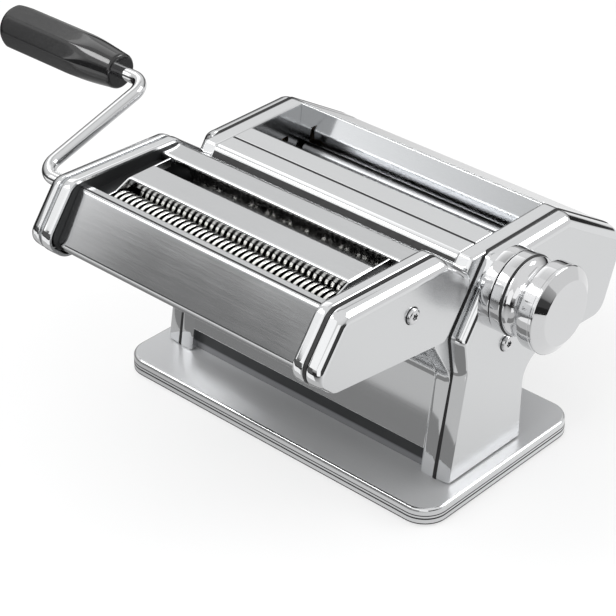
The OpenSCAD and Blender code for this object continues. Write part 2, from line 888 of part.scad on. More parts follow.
// Comb under the cutting roller at [y, z] point c, reaching drop below its discs
module comb(c, pitch, count, start, disc_r, drop) {
    low = c.y - disc_r - drop;
    root = c.y - disc_r - 1;
    tip = c.y - disc_r + 1.6;
    finger = pitch / 2 - 0.7;
    half = plate_in;
    translate([0, c.x - 0.5, 0])
        rotate([90, 0, 0])
            mirror([0, 0, 1])
                linear_extrude(1)
                    polygon(concat([[half, root], [half, low], [-half, low], [-half, root]],
                        [for (i = [0:count - 1]) let(x = start + pitch * i)
                            each [[x - finger / 2, root], [x - finger / 2, tip], [x + finger / 2, tip],
                                  [x + finger / 2, root]]]));
}

module cutter_combs() {
    first = -narrow_pitch * (narrow_count - 1) / 2;
    wide_first = -wide_pitch * (wide_count - 1) / 2;
    color("gainsboro") {
        comb(narrow_drive, narrow_pitch, narrow_count - 1, first + narrow_pitch / 2, narrow_r, 6);
        comb(narrow_mate, narrow_pitch, narrow_count - 2, first + narrow_pitch, narrow_r, 6);
        comb(wide_drive, wide_pitch, wide_count - 1, wide_first + wide_pitch / 2, wide_r, 3.5);
        comb(wide_mate, wide_pitch, wide_count - 2, wide_first + wide_pitch, wide_r, 3.5);
    }
}

module cutter_rods() {
    color("silver")
        for (c = cutter_rod_spots)
            bar(c, cutter_rod_r, -plate_in, plate_in);
}

module cutter_screws() {
    color("silver")
        both_sides()
            screw(cap_screw, cap_out, 4);
}

// Blocks on the end plates that slide onto the body's posts
module cutter_sockets() {
    color("gray")
        both_sides()
            difference() {
                translate([bracket_in, post.y - 5, socket_low])
                    cube([plate_in - bracket_in, 10, socket_top - socket_low]);
                translate([post.x, post.y, socket_low - 1])
                    cylinder(r = post_r + run_fit, h = post_top - socket_low + 1.2);
            }
}

// ---- Cutting rollers ----

// Discs and core of a cutting roller, from the first disc's middle
module disc_roller(c, pitch, count, start, disc_r, core_r) {
    disc = pitch / 2 - 0.06;
    turned(c, concat([[-core_x, 0], [-core_x, core_r]],
        [for (i = [0:count - 1]) let(x = start + pitch * i)
            each [[x - disc / 2, core_r], [x - disc / 2, disc_r],
                  [x + disc / 2, disc_r], [x + disc / 2, core_r]]],
        [[core_x, core_r], [core_x, 0]]));
}

narrow_core = narrow_r - disc_mesh - 1;
wide_core = wide_r - disc_mesh - 1;
cutter_gear_in = plate_out + 0.6;
cutter_gear_out = cutter_gear_in + 6;

// Round crank socket with a hexagon pocket behind it, opening on -X at x = end
module drive_socket(c, end) {
    bar(c, rod_r + run_fit, end - 1, end + socket_depth);
    translate([end + socket_depth - 0.1, c.x, c.y])
        rotate([0, 90, 0])
            cylinder(r = hex_r + slide_fit * 1.5, h = hex_len, $fn = 6);
}

// Journals of a cutting roller, with a crank socket on -X where drive is true
module journals(c, drive) {
    end = -cap_out + 1.5;
    bar(c, pin_r + 1.2, core_x - 0.7, plate_in - 0.6);
    bar(c, pin_r, plate_in - 0.7, cutter_gear_out);
    if (drive)
        difference() {
            bar(c, hub_r, end, -core_x + 0.7);
            drive_socket(c, end);
        }
    else {
        bar(c, pin_r + 1.2, -plate_in + 0.6, -core_x + 0.7);
        bar(c, pin_r, -plate_out - 1, -plate_in + 0.7);
    }
}

module narrow_drive_roller() {
    c = narrow_drive;
    color("gainsboro") {
        disc_roller(c, narrow_pitch, narrow_count,
                    -narrow_pitch * (narrow_count - 0.5) / 2 + narrow_pitch / 4, narrow_r, narrow_core);
        journals(c, true);
    }
}

module narrow_driven_roller() {
    c = narrow_mate;
    color("gainsboro") {
        disc_roller(c, narrow_pitch, narrow_count - 1,
                    -narrow_pitch * (narrow_count - 0.5) / 2 + narrow_pitch * 3 / 4, narrow_r, narrow_core);
        journals(c, false);
    }
}

module wide_drive_roller() {
    c = wide_drive;
    color("gainsboro") {
        disc_roller(c, wide_pitch, wide_count, -wide_pitch * (wide_count - 0.5) / 2 + wide_pitch / 4,
                    wide_r, wide_core);
        journals(c, true);
    }
}

module wide_driven_roller() {
    c = wide_mate;
    color("gainsboro") {
        disc_roller(c, wide_pitch, wide_count - 1, -wide_pitch * (wide_count - 0.5) / 2 + wide_pitch * 3 / 4,
                    wide_r, wide_core);
        journals(c, false);
    }
}

// Gear at [y, z] point c of a cutting pair whose axes are mesh apart
module cutter_gear(c, mesh, phase) {
    teeth = 14;
    pitch = PI * mesh / teeth;
    gear(c, teeth, mesh / 2 + 0.9, mesh / 2 - 1.2, pitch * 0.2, pitch * 0.52, phase, pin_r,
         cutter_gear_in, cutter_gear_out);
}

module narrow_drive_gear() {
    color("dimgray")
        cutter_gear(narrow_drive, narrow_span, 0);
}

module narrow_driven_gear() {
    color("dimgray")
        cutter_gear(narrow_mate, narrow_span, 180 / 14);
}

module wide_drive_gear() {
    color("dimgray")
        cutter_gear(wide_drive, wide_span, 0);
}

module wide_driven_gear() {
    color("dimgray")
        cutter_gear(wide_mate, wide_span, 180 / 14);
}

// ---- Crank ----

arm_x = -cap_out - arm_out;
rod_in = -cap_out + socket_depth;
grip_start = -grip_gap;
clip_x = grip_start - 12;

// Children placed in the crank's own frame: origin at the lower bend, the arm along +Y
module on_crank() {
    translate([arm_x, narrow_drive.x, narrow_drive.y])
        rotate([arm_tilt, 0, 0])
            children();
}

module crank_rod() {
    depth = rod_in - arm_x;
    color("silver")
        on_crank()
            difference() {
                union() {
                    translate([bend_r, 0, 0])
                        rotate([0, 90, 0])
                            cylinder(r = rod_r, h = depth - bend_r);
                    translate([depth - 0.1, 0, 0])
                        rotate([-arm_tilt, 0, 0])
                            rotate([0, 90, 0])
                                cylinder(r = hex_r, h = hex_len + 1, $fn = 6);
                    translate([bend_r, bend_r, 0])
                        rotate([0, 0, 180])
                            rotate_extrude(angle = 90)
                                translate([bend_r, 0])
                                    circle(r = rod_r);
                    translate([0, bend_r, 0])
                        rotate([-90, 0, 0])
                            cylinder(r = rod_r, h = arm_len - 2 * bend_r);
                    translate([-bend_r, arm_len - bend_r, 0])
                        rotate_extrude(angle = 90)
                            translate([bend_r, 0])
                                circle(r = rod_r);
                    translate([-bend_r, arm_len, 0])
                        rotate([0, -90, 0])
                            cylinder(r = rod_r, h = grip_gap + grip_len - 14 - bend_r);
                }
                translate([clip_x, arm_len, 0])
                    rotate([0, 90, 0])
                        difference() {
                            cylinder(r = rod_r + 1, h = 1.2);
                            translate([0, 0, -1])
                                cylinder(r = rod_r - 0.8, h = 4);
                        }
            }
}

module grip_clip() {
    color("dimgray")
        on_crank()
            translate([clip_x, arm_len, 0])
                rotate([0, 90, 0])
                    difference() {
                        cylinder(r = rod_r + 1.6, h = 1.2);
                        translate([0, 0, -1])
                            cylinder(r = rod_r - 0.8, h = 4);
                    }
}

module crank_grip() {
    color("black")
        on_crank()
            translate([grip_start, arm_len, 0])
                rotate([0, -90, 0])
                    difference() {
                        intersection() {
                            rotate([0, 0, 22.5])
                                cylinder(r = grip_r, h = grip_len, $fn = 8);
                            rotate_extrude($fn = 64)
                                polygon([[0, 0.1], [grip_neck_r - 1, 0.1], [grip_neck_r, 1],
                                         [grip_r + 0.5, grip_len * 0.36], [grip_r + 0.5, grip_len - 9],
                                         [grip_r - 2.2, grip_len - 4],
                                         [grip_r - 6, grip_len - 1], [grip_r - 9, grip_len - 0.1],
                                         [0, grip_len - 0.1]]);
                        }
                        translate([0, 0, -1])
                            cylinder(r = rod_r + run_fit, h = grip_len - 12);
                        translate([0, 0, 10.4])
                            cylinder(r = rod_r + 2, h = 2.4);
                    }
}

base_plate();
rubber_feet();
clamp_socket();
frame_left();
frame_right();
frame_rods();
front_sheet();
front_skirt();
top_plate();
hopper_plate();
rear_casing();
side_rim_left();
side_rim_right();
side_cover_left();
side_cover_right();
cover_standoffs();
cover_screws();
roller_bushes();
regulator_bushes();
rear_scraper();
index_ring();
cutter_brackets();
regulator_shaft();
regulator_cams();
shaft_collar();
shaft_key();
knob_body();
knob_cap();
index_pin();
knob_spring();
bearing_blocks();
front_scraper();
block_springs();
front_roller();
front_roller_gear();
rear_roller();
rear_roller_gear();
cutter_plate_left();
cutter_plate_right();
cutter_cap_left();
cutter_cap_right();
cutter_front_panel();
cutter_mid_guide();
cutter_side_guides();
cutter_rear_panel();
cutter_combs();
cutter_rods();
cutter_screws();
cutter_sockets();
narrow_drive_roller();
narrow_driven_roller();
wide_drive_roller();
wide_driven_roller();
narrow_drive_gear();
narrow_driven_gear();
wide_drive_gear();
wide_driven_gear();
crank_rod();
crank_grip();
grip_clip();
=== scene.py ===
# %% [markdown]
# # Pasta roller machine
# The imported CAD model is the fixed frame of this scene: it says where every part is and how it
# moves. Here each visible part gets its real surface. Pressed chrome covers need soft bevels and
# perfectly flat faces, because a mirror shows every facet, so they are worked out as smooth
# surfaces from the same outlines as the CAD solids. Parts that are hidden or small keep their CAD
# mesh and get a material.

import math

import bmesh
import bpy
import numpy as np
from mathutils import Matrix, Vector
from mathutils.geometry import tessellate_polygon


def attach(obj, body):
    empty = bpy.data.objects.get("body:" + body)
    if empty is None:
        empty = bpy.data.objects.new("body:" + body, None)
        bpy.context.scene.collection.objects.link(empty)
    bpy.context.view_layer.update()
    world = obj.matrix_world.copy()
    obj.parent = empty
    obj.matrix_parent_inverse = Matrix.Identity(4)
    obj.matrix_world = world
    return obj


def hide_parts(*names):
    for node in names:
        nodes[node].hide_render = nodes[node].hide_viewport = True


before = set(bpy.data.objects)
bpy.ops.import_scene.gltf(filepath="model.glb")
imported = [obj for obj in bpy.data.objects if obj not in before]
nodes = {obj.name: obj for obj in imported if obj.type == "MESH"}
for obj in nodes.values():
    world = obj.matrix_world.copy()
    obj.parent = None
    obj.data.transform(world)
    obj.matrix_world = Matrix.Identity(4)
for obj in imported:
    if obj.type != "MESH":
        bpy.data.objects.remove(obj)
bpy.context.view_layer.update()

# %% [markdown]
# ## Camera
# A product camera is a long lens from far away, so parallel edges stay nearly parallel. Its turn,
# height and roll are angles, and from them come the three axes of the camera as the columns of its
# matrix. The lens follows from the focal length in pixels and the frame's width in pixels.

# %% Camera
TURN, HEIGHT, ROLL = (math.radians(v) for v in (42.01, 32.2, 0.54))
FOCAL_PIXELS, FRAME_PIXELS, SENSOR_MM = 2125.1, 616, 36.0
CAMERA_PLACE = (0.65582, -0.76034, 0.69244)
right = np.array([math.cos(TURN), math.sin(TURN), 0.0])
back = np.array([math.sin(TURN) * math.cos(HEIGHT), -math.cos(TURN) * math.cos(HEIGHT),
                 math.sin(HEIGHT)])
up = np.cross(back, right)
axes = np.array([math.cos(ROLL) * right + math.sin(ROLL) * up,
                 math.cos(ROLL) * up - math.sin(ROLL) * right, back])
camera = bpy.data.objects.new("camera", bpy.data.cameras.new("camera"))
bpy.context.scene.collection.objects.link(camera)
camera.data.sensor_width = SENSOR_MM
camera.data.lens = FOCAL_PIXELS / FRAME_PIXELS * SENSOR_MM
camera.data.clip_end = 20.0
camera_turn = Matrix(axes.T.tolist()).to_4x4()
camera.matrix_world = Matrix.Translation(Vector(CAMERA_PLACE)) @ camera_turn
bpy.context.scene.camera = camera
print("lens", round(camera.data.lens, 2), "mm")

# %% [markdown]
# ## Making meshes
# Every new shape is a set of closed rings of points, each ring one step along the part. Two
# neighbouring rings are joined by quads, and the first and last ring can be filled with a flat
# face. Flat faces with holes are cut into triangles. All lengths below are millimetres unless a
# comment says otherwise, and become metres where the mesh is made.

# %% Rings to a mesh
MM = 0.001
SHARP = 35.0


def ring_faces(rings, count):
    """Quads between neighbouring closed rings: point j meets point j + 1, wrapping round."""
    i, j = np.meshgrid(np.arange(rings - 1), np.arange(count), indexing="ij")
    k = (j + 1) % count
    quads = np.stack([i * count + j, i * count + k, (i + 1) * count + k, (i + 1) * count + j], -1)
    return quads.reshape(-1, 4).tolist()


def flatten_normals(piece):
    """Lets the large faces rule the normals, so that a flat face stays a flat mirror."""
    piece.modifiers.new("flat faces", "WEIGHTED_NORMAL").keep_sharp = True


def finish_mesh(name, points, faces, material, body, stands_for=(), sharp=SHARP):
    """Millimetre points and faces become a named piece on its body.

    Normals point outwards, and the surface is smooth but for edges that turn over sharp degrees.
    """
    mesh = bpy.data.meshes.new(name)
    mesh.from_pydata((np.asarray(points, float) * MM).tolist(), [], faces)
    work = bmesh.new()
    work.from_mesh(mesh)
    bmesh.ops.remove_doubles(work, verts=work.verts, dist=1e-7)
    bmesh.ops.recalc_face_normals(work, faces=work.faces)
    work.to_mesh(mesh)
    work.free()
    mesh.shade_smooth()
    mesh.set_sharp_from_angle(angle=math.radians(sharp))
    piece = bpy.data.objects.new(name, mesh)
    bpy.context.scene.collection.objects.link(piece)
    mesh.materials.append(material)
    flatten_normals(piece)
    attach(piece, body)
    if stands_for:
        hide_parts(*stands_for)
    return piece


def rings_piece(name, rings, material, body, stands_for=(), ends=(True, True), sharp=SHARP):
    """rings is an array (step, point, 3). Joins the steps, fills the ends, and makes the piece."""
    steps, count = rings.shape[:2]
    faces = ring_faces(steps, count)
    if ends[0]:
        faces.append(list(range(count))[::-1])
    if ends[1]:
        faces.append([(steps - 1) * count + j for j in range(count)])
    return finish_mesh(name, rings.reshape(-1, 3), faces, material, body, stands_for, sharp)


print("one millimetre is", MM)

# %% [markdown]
# ### Side outlines
# The body, its covers and the cutter's caps are all one outline in the side view, pulled in by
# some amount and carried across the machine. Pulling an outline in moves every corner along both
# of its edges' normals, and its rounding radius shrinks on an outer corner and grows on an inner
# one.


# %% Outlines
def unit(v):
    """Vectors of length one along the last axis."""
    return v / np.linalg.norm(v, axis=-1, keepdims=True)


def outline(corners, radii, inset=0.0, steps=14):
    """Closed anticlockwise outline, moved inwards, each corner rounded by an arc of steps points.

    inset is one number, or one for each edge; edge i runs from corner i to the next. A corner
    moves by a * nu + b * nw, where nu and nw are its edges' inward normals, c = nu . nw, and a and
    b solve a + b * c = inset before the corner, a * c + b = inset after it.
    """
    p, r = np.array(corners, float), np.array(radii, float)
    u, w = unit(p - np.roll(p, 1, 0)), unit(np.roll(p, -1, 0) - p)
    nu, nw = np.stack([-u[:, 1], u[:, 0]], -1), np.stack([-w[:, 1], w[:, 0]], -1)
    after = np.broadcast_to(np.asarray(inset, float), (len(p),))
    before, c = np.roll(after, 1), (nu * nw).sum(1)
    move = (before - c * after)[:, None] * nu + (after - c * before)[:, None] * nw
    q = p + move / (1 - c**2)[:, None]
    bulge = np.sign(u[:, 0] * w[:, 1] - u[:, 1] * w[:, 0])
    r = np.maximum(r - bulge * (before + after) / 2, 0.4)
    a, c = unit(np.roll(q, 1, 0) - q), unit(np.roll(q, -1, 0) - q)
    half = np.arccos(np.clip((a * c).sum(1), -1, 1)) / 2
    centre = q + unit(a + c) * (r / np.sin(half))[:, None]
    start = q + a * (r / np.tan(half))[:, None] - centre
    end = q + c * (r / np.tan(half))[:, None] - centre
    a0 = np.arctan2(start[:, 1], start[:, 0])
    turn = (np.arctan2(end[:, 1], end[:, 0]) - a0 + np.pi) % (2 * np.pi) - np.pi
    angle = a0[:, None] + turn[:, None] * np.linspace(0, 1, steps)
    arcs = centre[:, None] + r[:, None, None] * np.stack([np.cos(angle), np.sin(angle)], -1)
    return arcs.reshape(-1, 2)


def at_x(loop, x):
    """A side outline of [y, z] points placed at x."""
    return np.concatenate([np.full((len(loop), 1), float(x)), loop], 1)


# %% [markdown]
# Each outline has its corners as [y, z], a radius for each, and, for the raised covers and caps,
# how far the bevel after each corner pulls that edge in. The places that several pieces share,
# such as axes and screws, are named once here.

# %% The machine's outlines and places
BODY = [[-37.6, 11.2], [25.8, 11.2], [25.8, 62], [97, 58], [114.4, 104.4], [58.4, 137.5],
        [-13.8, 137.5], [-43, 97.8], [-28, 72]]
BODY_R = [0.6, 0.6, 14, 12, 14, 8, 2, 4, 14]
COVER = [[-37.1, 11.5], [25.3, 11.5], [25.3, 61.5], [96.7, 58.5], [113.9, 104.1], [58.4, 137.1],
         [-3.5, 137.1], [-30.5, 97.5], [-26.5, 74]]
COVER_R = [0.6, 0.6, 14, 12, 14, 8, 6, 6, 10]
COVER_EDGE = [1.0, 1.5, 2.0, 3.0, 6.5, 6.5, 4.0, 3.0, 1.0]
CAP = [[-129.2, 113.9], [-40.2, 102.9], [-17.7, 133.7], [-43.8, 153], [-120.9, 156.1],
       [-143.0, 126.3]]
CAP_R = [10, 6, 9, 9, 10, 10]
CAP_EDGE = [0.5, 2.5, 4.5, 6.0, 5.2, 1.6]

SIDES = ((1, "right"), (-1, "left"))
INNER = 86.4  # half of the width between the two rims, and between the two caps
COVER_FACE, CAP_FACE = 105.7, 103.1
KNOB_AXIS, REAR_AXIS, FRONT_AXIS = (2.4, 118.2), (65.8, 98.0), (27.0, 98.0)
NARROW_DRIVE, NARROW_DRIVEN = (-98.0, 134.3), (-76.0, 134.3)
WIDE_DRIVE, WIDE_DRIVEN = (-59.0, 119.5), (-43.2, 119.5)
COVER_SCREW, CAP_SCREW = (6.5, 81.3), (-70.2, 132.6)
print("body outline", outline(BODY, BODY_R).shape[0], "points")

# %% Profiles
ROUND = 48


def bevel(x0, x1, t1, steps=9):
    """Quarter ellipse from the flank at x0 to the face at x1, pulled in by t1, as [x, inset]."""
    a = np.linspace(0, np.pi / 2, steps)
    return np.stack([x0 + (x1 - x0) * np.sin(a), t1 * (1 - np.cos(a))], -1).tolist()


def swept(corners, radii, profile, side=1, weight=1.0):
    """One ring of the outline for each [x, inset] pair, on the side +1 or -1 of the machine."""
    return np.stack([at_x(outline(corners, radii, t * np.asarray(weight)), side * x)
                     for x, t in profile])


def circle(c, r, x, count=ROUND):
    """Ring of radius r about an X axis at the [y, z] point c."""
    a = np.linspace(0, 2 * np.pi, count, endpoint=False)
    return at_x(np.array(c) + r * np.stack([np.cos(a), np.sin(a)], -1), x)


def turned_rings(c, profile, count=96):
    """A lathe: one circle about an X axis for each [x, radius] pair."""
    return np.stack([circle(c, max(r, 1e-3), x, count) for x, r in profile])


print("bevel of a cover has", len(bevel(0, 4, 4)), "steps")

# %% [markdown]
# ## Materials
# Colours are written as sRGB hex values and turned to linear. One small function adds a node with
# its settings and its links. Every pattern reads Object coordinates, in metres, so its size is a
# real one.


# %% Colour and node helpers
def colour(hex_value):
    """sRGB hex to linear: v / 12.92 up to 0.04045, ((v + 0.055) / 1.055) to the power 2.4 above."""
    v = np.array([int(hex_value[i : i + 2], 16) for i in (1, 3, 5)]) / 255
    linear = np.where(v <= 0.04045, v / 12.92, ((v + 0.055) / 1.055) ** 2.4)
    return (*linear.tolist(), 1.0)


def add(tree, kind, inputs=None, **settings):
    """Adds a node of that kind, sets its properties, and sets or links its inputs."""
    made = tree.nodes.new(kind)
    for key, value in settings.items():
        setattr(made, key, value)
    for key, value in (inputs or {}).items():
        if isinstance(value, bpy.types.NodeSocket):
            tree.links.new(value, made.inputs[key])
        else:
            made.inputs[key].default_value = value
    return made


def start_material(name):
    """A new node material: its tree, its Principled shader, and the Object coordinates."""
    material = bpy.data.materials.new(name)
    material.use_nodes = True
    tree = material.node_tree
    place = add(tree, "ShaderNodeTexCoord").outputs["Object"]
    return material, tree, tree.nodes["Principled BSDF"], place


def grained_metal(name, tints, metal, rough, grain, stretch, bump):
    """A metal whose colour and roughness wander over a stretched noise of grain per metre.

    tints and rough each hold the two values that the surface wanders between.
    """
    material, tree, shader, place = start_material(name)
    mapped = add(tree, "ShaderNodeMapping", {"Vector": place, "Scale": stretch}).outputs[0]
    fine = add(tree, "ShaderNodeTexNoise",
               {"Vector": mapped, "Scale": grain, "Detail": 5.0, "Roughness": 0.6}).outputs[0]
    broad = add(tree, "ShaderNodeTexNoise",
                {"Vector": place, "Scale": 18.0, "Detail": 2.0}).outputs[0]
    both = add(tree, "ShaderNodeMix", {0: 0.4, 2: fine, 3: broad}).outputs[0]
    shades = add(tree, "ShaderNodeMix", {0: both, 6: colour(tints[0]), 7: colour(tints[1])},
                 data_type="RGBA").outputs[2]
    dull = add(tree, "ShaderNodeMapRange",
               {0: both, 1: 0.3, 2: 0.7, 3: rough[0], 4: rough[1]}).outputs[0]
    relief = add(tree, "ShaderNodeBump",
                 {"Strength": bump, "Distance": 0.0002, "Height": fine}).outputs[0]
    shader.inputs["Metallic"].default_value = metal
    tree.links.new(shades, shader.inputs["Base Color"])
    tree.links.new(dull, shader.inputs["Roughness"])
    tree.links.new(relief, shader.inputs["Normal"])
    return material


print("mid grey is", round(colour("#808080")[0], 3), "in linear")

# %% [markdown]
# Chrome plate on polished steel is a mirror with a slightly blue-grey tint. Handling leaves a
# faint haze, so the roughness wanders a little, and the large pressed faces, which are lapped
# flat, are duller than the bevels. Stainless sheet is drawn through rolls, which leaves a grain
# along its length: the noise is stretched 40 times along X. The body's front, top and hopper
# sheets are rolled brighter than the rest. All these grains are finer in life than they can show
# here.

# %% Metals
EVEN, ROLLED, BRUSHED = (1, 1, 1), (0.025, 1, 1), (0.03, 1, 1)
# This dark sheet is painted shade: it goes on parts that lie in shadow, whatever they are made of.
PAINTED_SHADE = (("#2A2B2C", "#3A3B3C"), 0.6, (0.35, 0.5), 800.0, BRUSHED, 0.04)

chrome = grained_metal("polished_chrome_plate", ("#DADBDC", "#E4E5E6"), 1.0, (0.035, 0.075),
                       900.0, EVEN, 0.006)
flat_chrome = grained_metal("lapped_chrome_plate", ("#D6D7D8", "#DEDFE0"), 1.0, (0.2, 0.27),
                            900.0, EVEN, 0.004)
stainless = grained_metal("cold_rolled_stainless", ("#C4C5C6", "#D6D7D8"), 1.0, (0.12, 0.18),
                          1400.0, ROLLED, 0.015)
bright_sheet = grained_metal("bright_rolled_sheet", ("#D6D7D8", "#E0E1E2"), 1.0, (0.07, 0.12),
                             1400.0, ROLLED, 0.008)
base_chrome = grained_metal("satin_chromed_base", ("#BEBFC1", "#C8C9CA"), 0.4, (0.34, 0.42),
                            1200.0, BRUSHED, 0.03)
rod_chrome = grained_metal("turned_chromed_steel", ("#D6D7D8", "#E2E2E3"), 1.0, (0.04, 0.08),
                           1500.0, EVEN, 0.01)
# The rollers' aluminium is painted darker than it is: painted shade for the dark inside the hopper.
anodised_painted_shade = grained_metal("anodised_aluminium", ("#8E8F91", "#9C9D9F"), 1.0, (0.2, 0.3),
                         1600.0, (1, 0.1, 0.1), 0.03)
zinc = grained_metal("zinc_plated_steel", ("#8F9295", "#A3A6A8"), 1.0, (0.28, 0.42),
                     700.0, EVEN, 0.05)
bronze = grained_metal("sintered_bronze", ("#96713C", "#B08A52"), 1.0, (0.35, 0.5),
                       900.0, EVEN, 0.08)
screw_steel = grained_metal("bright_screw_steel", ("#D0D1D2", "#E0E0E1"), 1.0, (0.08, 0.16),
                            1200.0, EVEN, 0.01)
shadow_sheet = grained_metal("painted_shade_sheet", *PAINTED_SHADE)
print("metals made:", len(bpy.data.materials), "materials so far")

# %% [markdown]
# Between the discs of a cutting roller the steel is painted dark: painted shade, for the shade that
# falls deep between the discs. The distance from the roller's axis tells the two apart: dark up to
# the core, bright at the rim. The skirt below the body's front sheet is one dark sheet whose lowest
# strip is paler, painted shade above and painted light below, and its height tells those apart.


# %% Metals in two tones
def paint_light_and_shade(material, measure, start, end, tone):
    """Paints light and shade: mixes in the colour tone, all of it where measure is at start, none
    of it from end on.
    """
    tree, shader = material.node_tree, material.node_tree.nodes["Principled BSDF"]
    share = add(tree, "ShaderNodeMapRange",
                {0: measure, 1: start, 2: end, 3: 0.0, 4: 1.0}).outputs[0]
    own = shader.inputs["Base Color"].links[0].from_socket
    tint = add(tree, "ShaderNodeMix", {0: share, 6: colour(tone), 7: own},
               data_type="RGBA").outputs[2]
    tree.links.new(tint, shader.inputs["Base Color"])


def disc_steel_painted_shade(name, centre, core, rim):
    """Nickel-plated steel, bright at radius rim and painted dark as shade at radius core, in mm
    about centre.
    """
    material = grained_metal(name, ("#CFCECB", "#E0DFDC"), 1.0, (0.1, 0.2), 1600.0, EVEN, 0.02)
    tree = material.node_tree
    place = add(tree, "ShaderNodeTexCoord").outputs["Object"]
    middle = (0.0, -centre[0] * MM, -centre[1] * MM)
    moved = add(tree, "ShaderNodeMapping",
                {"Vector": place, "Location": middle, "Scale": (0, 1, 1)}).outputs[0]
    out = add(tree, "ShaderNodeVectorMath", {0: moved}, operation="LENGTH").outputs["Value"]
    # The dark tone is painted shade between the discs.
    paint_light_and_shade(material, out, core * MM, rim * MM, "#1C1B1A")
    return material


skirt_painted_shade_and_light = grained_metal("front_skirt_sheet", *PAINTED_SHADE)
skirt_place = add(skirt_painted_shade_and_light.node_tree, "ShaderNodeTexCoord").outputs["Object"]
skirt_height = add(skirt_painted_shade_and_light.node_tree, "ShaderNodeSeparateXYZ", {0: skirt_place}).outputs[2]
# The paler lowest strip is painted light, and the dark sheet above it is painted shade.
paint_light_and_shade(skirt_painted_shade_and_light, skirt_height, 14.8 * MM, 16.2 * MM, "#77787A")
print("skirt sheet made")

# %% [markdown]
# The crank's grip is moulded in black phenolic plastic: a hard glossy skin over pure black, with a
# slight orange-peel waviness of about two millimetres. The feet are matt nitrile rubber, and the
# scrapers acetal. The dark lines are a matt black, which hardly reflects: in the joints between
# sheets that is their own dark, but in grooves, creases, screw heads and on the cutter's seat it is
# painted shade, and on the base's plain side it is painted reflection.


# %% Plastics and rubber
def moulded(name, tints, rough, wave, bump, coat=0.0):
    """Two close shades and a wandering roughness, over a soft surface wave of wave per metre."""
    material, tree, shader, place = start_material(name)
    noise = add(tree, "ShaderNodeTexNoise",
                {"Vector": place, "Scale": wave, "Detail": 3.0}).outputs[0]
    shades = add(tree, "ShaderNodeMix", {0: noise, 6: colour(tints[0]), 7: colour(tints[1])},
                 data_type="RGBA").outputs[2]
    dull = add(tree, "ShaderNodeMapRange",
               {0: noise, 1: 0.3, 2: 0.7, 3: rough[0], 4: rough[1]}).outputs[0]
    relief = add(tree, "ShaderNodeBump",
                 {"Strength": bump, "Distance": 0.0003, "Height": noise}).outputs[0]
    tree.links.new(shades, shader.inputs["Base Color"])
    tree.links.new(dull, shader.inputs["Roughness"])
    tree.links.new(relief, shader.inputs["Normal"])
    shader.inputs["Coat Weight"].default_value = coat
    return material


phenolic = moulded("black_phenolic_grip", ("#0A0A0B", "#121213"), (0.1, 0.18), 480.0, 0.02, 0.5)
rubber = moulded("black_nitrile_rubber", ("#161616", "#202020"), (0.6, 0.8), 900.0, 0.15)
acetal = moulded("white_acetal_scraper", ("#D8D8D2", "#E4E4DE"), (0.35, 0.5), 700.0, 0.05)
groove = moulded("dark_groove_line", ("#0C0C0D", "#161617"), (0.5, 0.6), 400.0, 0.01)
print("plastics made")

# %% [markdown]
# Each CAD node that keeps its own mesh takes the material of what it really is, but the plates and
# combs deep in the cutter take a dark sheet instead, painted shade, as they lie in its shadow.
# Nodes that get a smooth piece further down take chrome, so nothing is left plain in any pose.

# %% Materials on the CAD nodes
FINISHES = (
    (zinc, "clamp_socket frame_rods cover_standoffs cutter_brackets cutter_rods cutter_sockets"),
    (zinc, "regulator_shaft regulator_cams shaft_collar shaft_key index_pin grip_clip"),
    (zinc, "knob_spring block_springs front_roller_gear rear_roller_gear"),
    (zinc, "narrow_drive_gear narrow_driven_gear wide_drive_gear wide_driven_gear"),
    (bronze, "roller_bushes regulator_bushes bearing_blocks"),
    (stainless, "frame_left frame_right"),
    (shadow_sheet, "cutter_plate_left cutter_plate_right cutter_combs"),
    (skirt_painted_shade_and_light, "front_skirt"),
    (acetal, "rear_scraper front_scraper"),
    (rubber, "rubber_feet"),
)
NODE_FINISH = {name: finish for finish, names in FINISHES for name in names.split()}
for name, node in nodes.items():
    node.data.materials.clear()
    node.data.materials.append(NODE_FINISH.get(name, chrome))
print(len(NODE_FINISH), "nodes keep their own mesh")

# %% [markdown]
# ## Shells and sheets
# A pressed cover is a shell: an outer surface, an inner one a sheet's thickness behind it, a rim
# that joins them, and holes that go right through. A folded sheet is a line of corners in the side
# view, given a thickness, its bends rounded, and carried across the machine with its two cut edges
# softened.


# %% Shell helpers
def second_finish(piece, material, chosen):
    """Gives a second material to the faces that chosen picks by the sizes of their normals."""
    piece.data.materials.append(material)
    normals = np.empty(len(piece.data.polygons) * 3)
    piece.data.polygons.foreach_get("normal", normals)
    picked = chosen(np.abs(normals.reshape(-1, 3)))
    piece.data.polygons.foreach_set("material_index", picked.astype(int))


